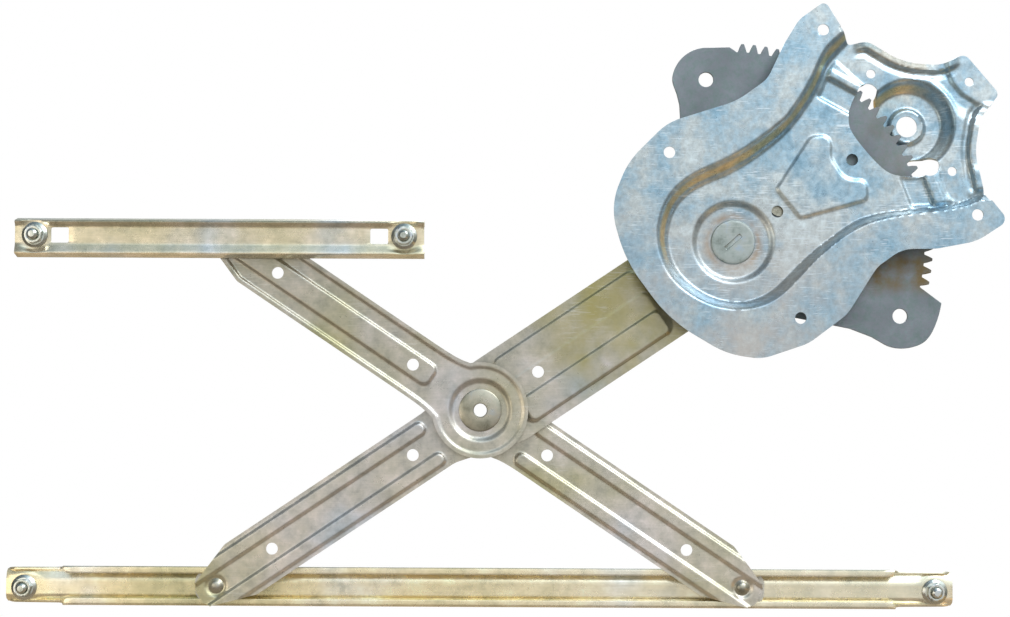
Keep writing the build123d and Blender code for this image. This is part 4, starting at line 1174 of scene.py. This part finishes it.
def flange_nut(flats, flange):
    """Hexagon nut with a flange, bored for its stud, standing from depth 0 towards the cabin."""
    half = flats / 2
    nut = primitive("cylinder", "Nut", vertices=6, radius=half / math.cos(math.pi / 6) * MM,
                    depth=NUT_HEIGHT * MM, location=(0, -NUT_HEIGHT / 2 * MM, 0),
                    rotation=(math.pi / 2, 0, 0))
    chamfer = [(0, 0), (half * 1.3, 0), (half * 1.3, -5.0), (half * 1.16, -5.6),
               (half * 1.01, -6.2), (0, -6.2)]
    collar = [(0, 0), (flange - 0.4, 0), (flange, -0.25), (flange - 0.05, -0.7),
              (flange - 0.5, -1.0), (half * 1.2, -1.75), (0, -1.75)]
    bore = [(0, 1), (3.0, 1), (3.0, -5.4), (4.4, -6.8), (0, -6.8)]
    combine(nut, turned("Chamfer", chamfer), "INTERSECT")
    combine(nut, turned("Flange", collar), "UNION")
    combine(nut, turned("Bore", bore, segments=48), "DIFFERENCE")
    outwards(nut)
    soften(nut, 0.16 * MM, 22)
    shade(nut, 24, True)
    return nut


def weld_stud(diameter, pitch, head):
    """Threaded stud from depth 1.5 to -9.95, with its flat head behind the rail's sheet."""
    r = diameter / 2
    profile = [(0, 3.1), (head - 0.5, 3.1), (head, 2.7), (head, 1.5), (r, 1.5), (r, THREAD_START)]
    y = THREAD_START
    while y - pitch > THREAD_END:
        profile += [(r - 0.42 * pitch, y - 0.5 * pitch), (r, y - 0.9 * pitch), (r, y - pitch)]
        y -= pitch
    profile += [(r - 0.5, THREAD_END), (r - 1.1, STUD_END + 0.05), (0, STUD_END)]
    stud = turned("Stud", profile, segments=64)
    shade(stud, 30)
    return stud


class REGULATOR_OT_fasteners(bpy.types.Operator):
    """Make one flange nut and one stud for each rail and copy them to their places"""
    bl_idname = "regulator.fasteners"
    bl_label = "Nuts and studs"

    def execute(self, context):
        sizes = context.scene.regulator_sizes
        nut = flange_nut(sizes.nut_flats / MM, sizes.nut_flange / 2 / MM)
        rows = (("upper_rail", "base", 2.0, 5.0, UPPER_RAIL_X, 12, UPPER_RAIL_Z + UPPER_STRIP,
                 (0.2, 0.5)),
                ("glass_rail", "glass_rail", GLASS_BACK - 3.5, 4.9, GLASS_RAIL_X, 11,
                 GLASS_RAIL_Z + GLASS_STRIP, (0.35, 0.1)))
        for label, body, seat, head, (x0, x1), inset, z, turns in rows:
            stud = weld_stud(sizes.stud_diameter / MM, sizes.thread_pitch / MM, head)
            for model, kind, slot, around in ((nut, "nut", "nut", turns),
                                              (stud, "stud", "steel", (0, 0))):
                pair = [copy_to(model, kind, (x, z), seat, turn)
                        for x, turn in zip((x0 + inset, x1 - inset), around)]
                put(join("%s_%s_pair" % (label, kind), pair), body, slot, "nut",
                    "%s_%ss" % (label, kind))
            bpy.data.objects.remove(stud)
        bpy.data.objects.remove(nut)
        return {"FINISHED"}


# ---------------------------------------------------------------------------- frame pieces kept
class REGULATOR_OT_sector_gear(bpy.types.Operator):
    """Finish a copy of the toothed sector with its sheared edges broken"""
    bl_idname = "regulator.sector_gear"
    bl_label = "Sector gear"

    def execute(self, context):
        piece = link("Sector_gear", frame["nodes"]["sector_gear"].data.copy())
        outwards(piece, 0.5)
        soften(piece, context.scene.regulator_sizes.gear_edge, 35)
        shade(piece, 30, True)
        put(piece, "lift_arm", "gear", "gear", "sector_gear")
        return {"FINISHED"}


class REGULATOR_OT_kept_parts(bpy.types.Operator):
    """Give the frame's own shapes that stay their finish"""
    bl_idname = "regulator.kept_parts"
    bl_label = "Washers, bushes and shoes"

    def execute(self, context):
        slots = {s["node"]: s["material_slot"] for s in frame["record"]["subparts"]}
        for node, piece in frame["nodes"].items():
            finish = FINISHES[slots[node]]
            if not piece.material_slots:
                piece.data.materials.append(finish)
            for place in piece.material_slots:
                place.material = finish
        return {"FINISHED"}


# ---------------------------------------------------------------------------- stage
# the stage is in metres
FLOOR_DROP = 0.09           # the glass rail comes down nearly this far at its lowest
FLOOR_SIZE = (4.0, 1.6, 1.0)
CAMERA_PLACE = (-0.1857, -1.1977, -0.1329)
CAMERA_AZIMUTH, CAMERA_ELEVATION, CAMERA_ROLL = -0.0042, 0.0475, 0.0048     # radians
SENSOR = 36.0               # millimetres
FOCAL_LENGTH = 2003.6 * SENSOR / 1010.0     # from its pixels and the picture's width in pixels
LAMP_TARGET = Vector((-0.19, 0.0, -0.07))


def mirror_floor(f):
    """What polished metal sees of the floor: warm beside the regulator, darker before it."""
    near = f.spread(f.axis("Y"), 0.0, 1.0, -0.90, 0.28)
    brown = f.ramp(near, (0.0, (0.46, 0.43, 0.38)), (0.34, (0.26, 0.22, 0.18)),
                   (0.54, (0.12, 0.095, 0.07)), (0.70, (0.18, 0.13, 0.08)),
                   (0.88, (0.42, 0.32, 0.20)), (1.0, (0.5, 0.40, 0.27)))
    golden_reflection = f.ramp(near, (0.0, (0.62, 0.50, 0.38)), (0.30, (0.70, 0.47, 0.24)),
                    (0.50, (0.90, 0.54, 0.19)), (0.66, (0.95, 0.58, 0.22)),
                    (0.76, (0.36, 0.22, 0.08)), (1.0, (0.70, 0.45, 0.18)))
    return f.mix("MIX", f.spread(f.axis("X"), 0.0, 1.0, 0.13, 0.25), brown, golden_reflection)


def make_floor(studio):
    low, high = START_BOX
    floor = primitive("plane", "Floor", size=1.0, scale=FLOOR_SIZE,
                      location=((low.x + high.x) / 2, 0.0, low.z - FLOOR_DROP))
    f = Finish("Pale floor")
    for socket, value in (("Base Color", (*studio.floor, 1)), ("Roughness", 0.9),
                          ("Specular IOR Level", 0.0)):
        f.shader.inputs[socket].default_value = value

    def glow(tint, strength):
        return f.add("ShaderNodeEmission", {"Color": tint, "Strength": strength}).outputs[0]

    rays = f.add("ShaderNodeLightPath").outputs
    glowing = f.blend(rays["Is Camera Ray"], glow((0, 0, 0, 1), 0.0), glow((1, 1, 1, 1), 0.55))
    lit = f.add("ShaderNodeAddShader", {0: f.shader.outputs[0], 1: glowing}).outputs[0]
    surface = f.blend(rays["Is Glossy Ray"], lit, glow(mirror_floor(f), studio.room))
    f.tree.links.new(surface, f.tree.nodes["Material Output"].inputs["Surface"])
    floor.data.materials.append(f.material)


def make_room(studio):
    """White to the camera, soft to matt surfaces, and brighter up right in polished metal."""
    world = bpy.data.worlds.new("Studio")
    bpy.context.scene.world = world
    world.use_nodes = True
    room = Nodes(world.node_tree)
    room.tree.nodes.clear()
    place = room.add("ShaderNodeTexCoord").outputs["Generated"]

    def tilt(direction, *stops):
        """Colour by how far a reflection leans to one side."""
        dot = room.add("ShaderNodeVectorMath", {0: place, 1: Vector(direction).normalized()},
                       operation="DOT_PRODUCT").outputs["Value"]
        return room.ramp(room.spread(dot, 0.0, 1.0, -1.0), *stops)

    def background(tint, strength):
        return room.add("ShaderNodeBackground", {"Color": tint, "Strength": strength}).outputs[0]

    up_right = tilt((1, 0, 1), (0.10, (0.08, 0.055, 0.03)), (0.27, (0.24, 0.18, 0.10)),
                    (0.42, (0.50, 0.48, 0.43)), (0.50, (0.59, 0.60, 0.61)),
                    (0.61, (0.63, 0.67, 0.70)), (0.69, (0.86, 0.93, 0.98)),
                    (0.80, (0.98, 1.08, 1.15)), (0.92, (0.95, 1.05, 1.12)))
    up_left = tilt((-1, 0, 1), (0.08, (0.10, 0.085, 0.07)), (0.27, (0.30, 0.27, 0.23)),
                   (0.42, 1.0), (0.58, 1.0), (0.68, (0.82, 0.86, 0.88)),
                   (0.76, (0.30, 0.39, 0.45)), (0.90, (0.10, 0.14, 0.18)))
    overhead = tilt((0, -0.83, 0.56), (0.0, 1.0), (0.968, 1.0), (0.986, (1.7, 1.72, 1.75)))
    mirrored = room.mix("MULTIPLY", 1.0, room.mix("MULTIPLY", 1.0, up_right, up_left), overhead)
    rays = room.add("ShaderNodeLightPath").outputs
    unseen = room.blend(rays["Is Glossy Ray"], background((0.96, 0.98, 1.0, 1), 0.42),
                        background(mirrored, studio.room))
    seen = room.maths("MAXIMUM", rays["Is Camera Ray"], rays["Is Transmission Ray"])
    room.add("ShaderNodeOutputWorld",
             {"Surface": room.blend(seen, unseen, background((1, 1, 1, 1), 1.0))})


def make_lamps(studio):
    lamps = (("Key", (0.75, -0.95, 0.95), (0.7, 0.7), studio.key, (1.0, 1.0, 1.0)),
             ("Fill", (-0.9, -1.0, -0.1), (0.8, 0.8), studio.fill, (1.0, 0.93, 0.82)),
             ("Back", (0.2, 1.2, 0.8), (0.9, 0.9), studio.back, (1.0, 1.0, 1.0)))
    for name, where, (wide, high), watts, tint in lamps:
        deselect()
        bpy.ops.object.light_add(type="AREA", location=LAMP_TARGET + Vector(where))
        lamp = bpy.context.object
        lamp.name = name
        lamp.data.shape = "RECTANGLE"
        lamp.data.size, lamp.data.size_y = wide, high
        lamp.data.energy = watts
        lamp.data.color = tint
        lamp.rotation_euler = (-Vector(where)).to_track_quat("-Z", "Y").to_euler()


def make_camera():
    azimuth, elevation, roll = CAMERA_AZIMUTH, CAMERA_ELEVATION, CAMERA_ROLL
    forward = Vector((math.sin(azimuth) * math.cos(elevation),
                      math.cos(azimuth) * math.cos(elevation), math.sin(elevation)))
    side = Vector((math.cos(azimuth), -math.sin(azimuth), 0))
    up = side.cross(forward)
    right = side * math.cos(roll) + up * math.sin(roll)
    top = -side * math.sin(roll) + up * math.cos(roll)
    deselect()
    bpy.ops.object.camera_add(location=CAMERA_PLACE)
    camera = bpy.context.object
    camera.name = "Camera"
    camera.rotation_mode = "QUATERNION"
    camera.rotation_quaternion = Matrix((right, top, -forward)).transposed().to_quaternion()
    camera.data.sensor_width = SENSOR
    camera.data.lens = FOCAL_LENGTH
    camera.data.clip_start = 0.05
    camera.data.clip_end = 30.0
    bpy.context.scene.camera = camera


class REGULATOR_OT_stage(bpy.types.Operator):
    """Set the floor, the room, the lamps and the camera"""
    bl_idname = "regulator.stage"
    bl_label = "Stage"

    def execute(self, context):
        studio = context.scene.regulator_studio
        context.scene.view_settings.view_transform = "Standard"
        make_camera()
        make_floor(studio)
        make_room(studio)
        make_lamps(studio)
        return {"FINISHED"}


STEPS = (REGULATOR_OT_stage, REGULATOR_OT_finishes, REGULATOR_OT_base_plate,
         REGULATOR_OT_lift_arm, REGULATOR_OT_cross_arm, REGULATOR_OT_main_pivot,
         REGULATOR_OT_centre_rivet, REGULATOR_OT_slider_pins, REGULATOR_OT_upper_rail,
         REGULATOR_OT_glass_rail, REGULATOR_OT_fasteners, REGULATOR_OT_sector_gear,
         REGULATOR_OT_kept_parts)
GROUPS = (("regulator_sizes", RegulatorSizes), ("regulator_colours", RegulatorColours),
          ("regulator_studio", RegulatorStudio))


class REGULATOR_PT_pieces(bpy.types.Panel):
    """Sizes, colours and lights, and the pieces in the order they are made"""
    bl_idname = "REGULATOR_PT_pieces"
    bl_label = "Window regulator"
    bl_space_type = "VIEW_3D"
    bl_region_type = "UI"
    bl_category = "Regulator"

    def draw(self, context):
        for name, group in GROUPS:
            box = self.layout.box()
            for key in group.__annotations__:
                box.prop(getattr(context.scene, name), key)
        for step in STEPS:
            self.layout.operator(step.bl_idname)


CLASSES = tuple(group for _, group in GROUPS) + STEPS + (REGULATOR_PT_pieces,)


def register():
    for cls in CLASSES:
        bpy.utils.register_class(cls)
    for name, group in GROUPS:
        setattr(bpy.types.Scene, name, PointerProperty(type=group))


def unregister():
    for name, _ in GROUPS:
        delattr(bpy.types.Scene, name)
    for cls in reversed(CLASSES):
        bpy.utils.unregister_class(cls)


def main():
    register()
    for step in STEPS:
        run = getattr(bpy.ops.regulator, step.bl_idname.split(".")[1])
        if run() != {"FINISHED"}:
            raise RuntimeError(step.bl_label + " wasn't made")
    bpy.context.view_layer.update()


if __name__ == "__main__":
    main()
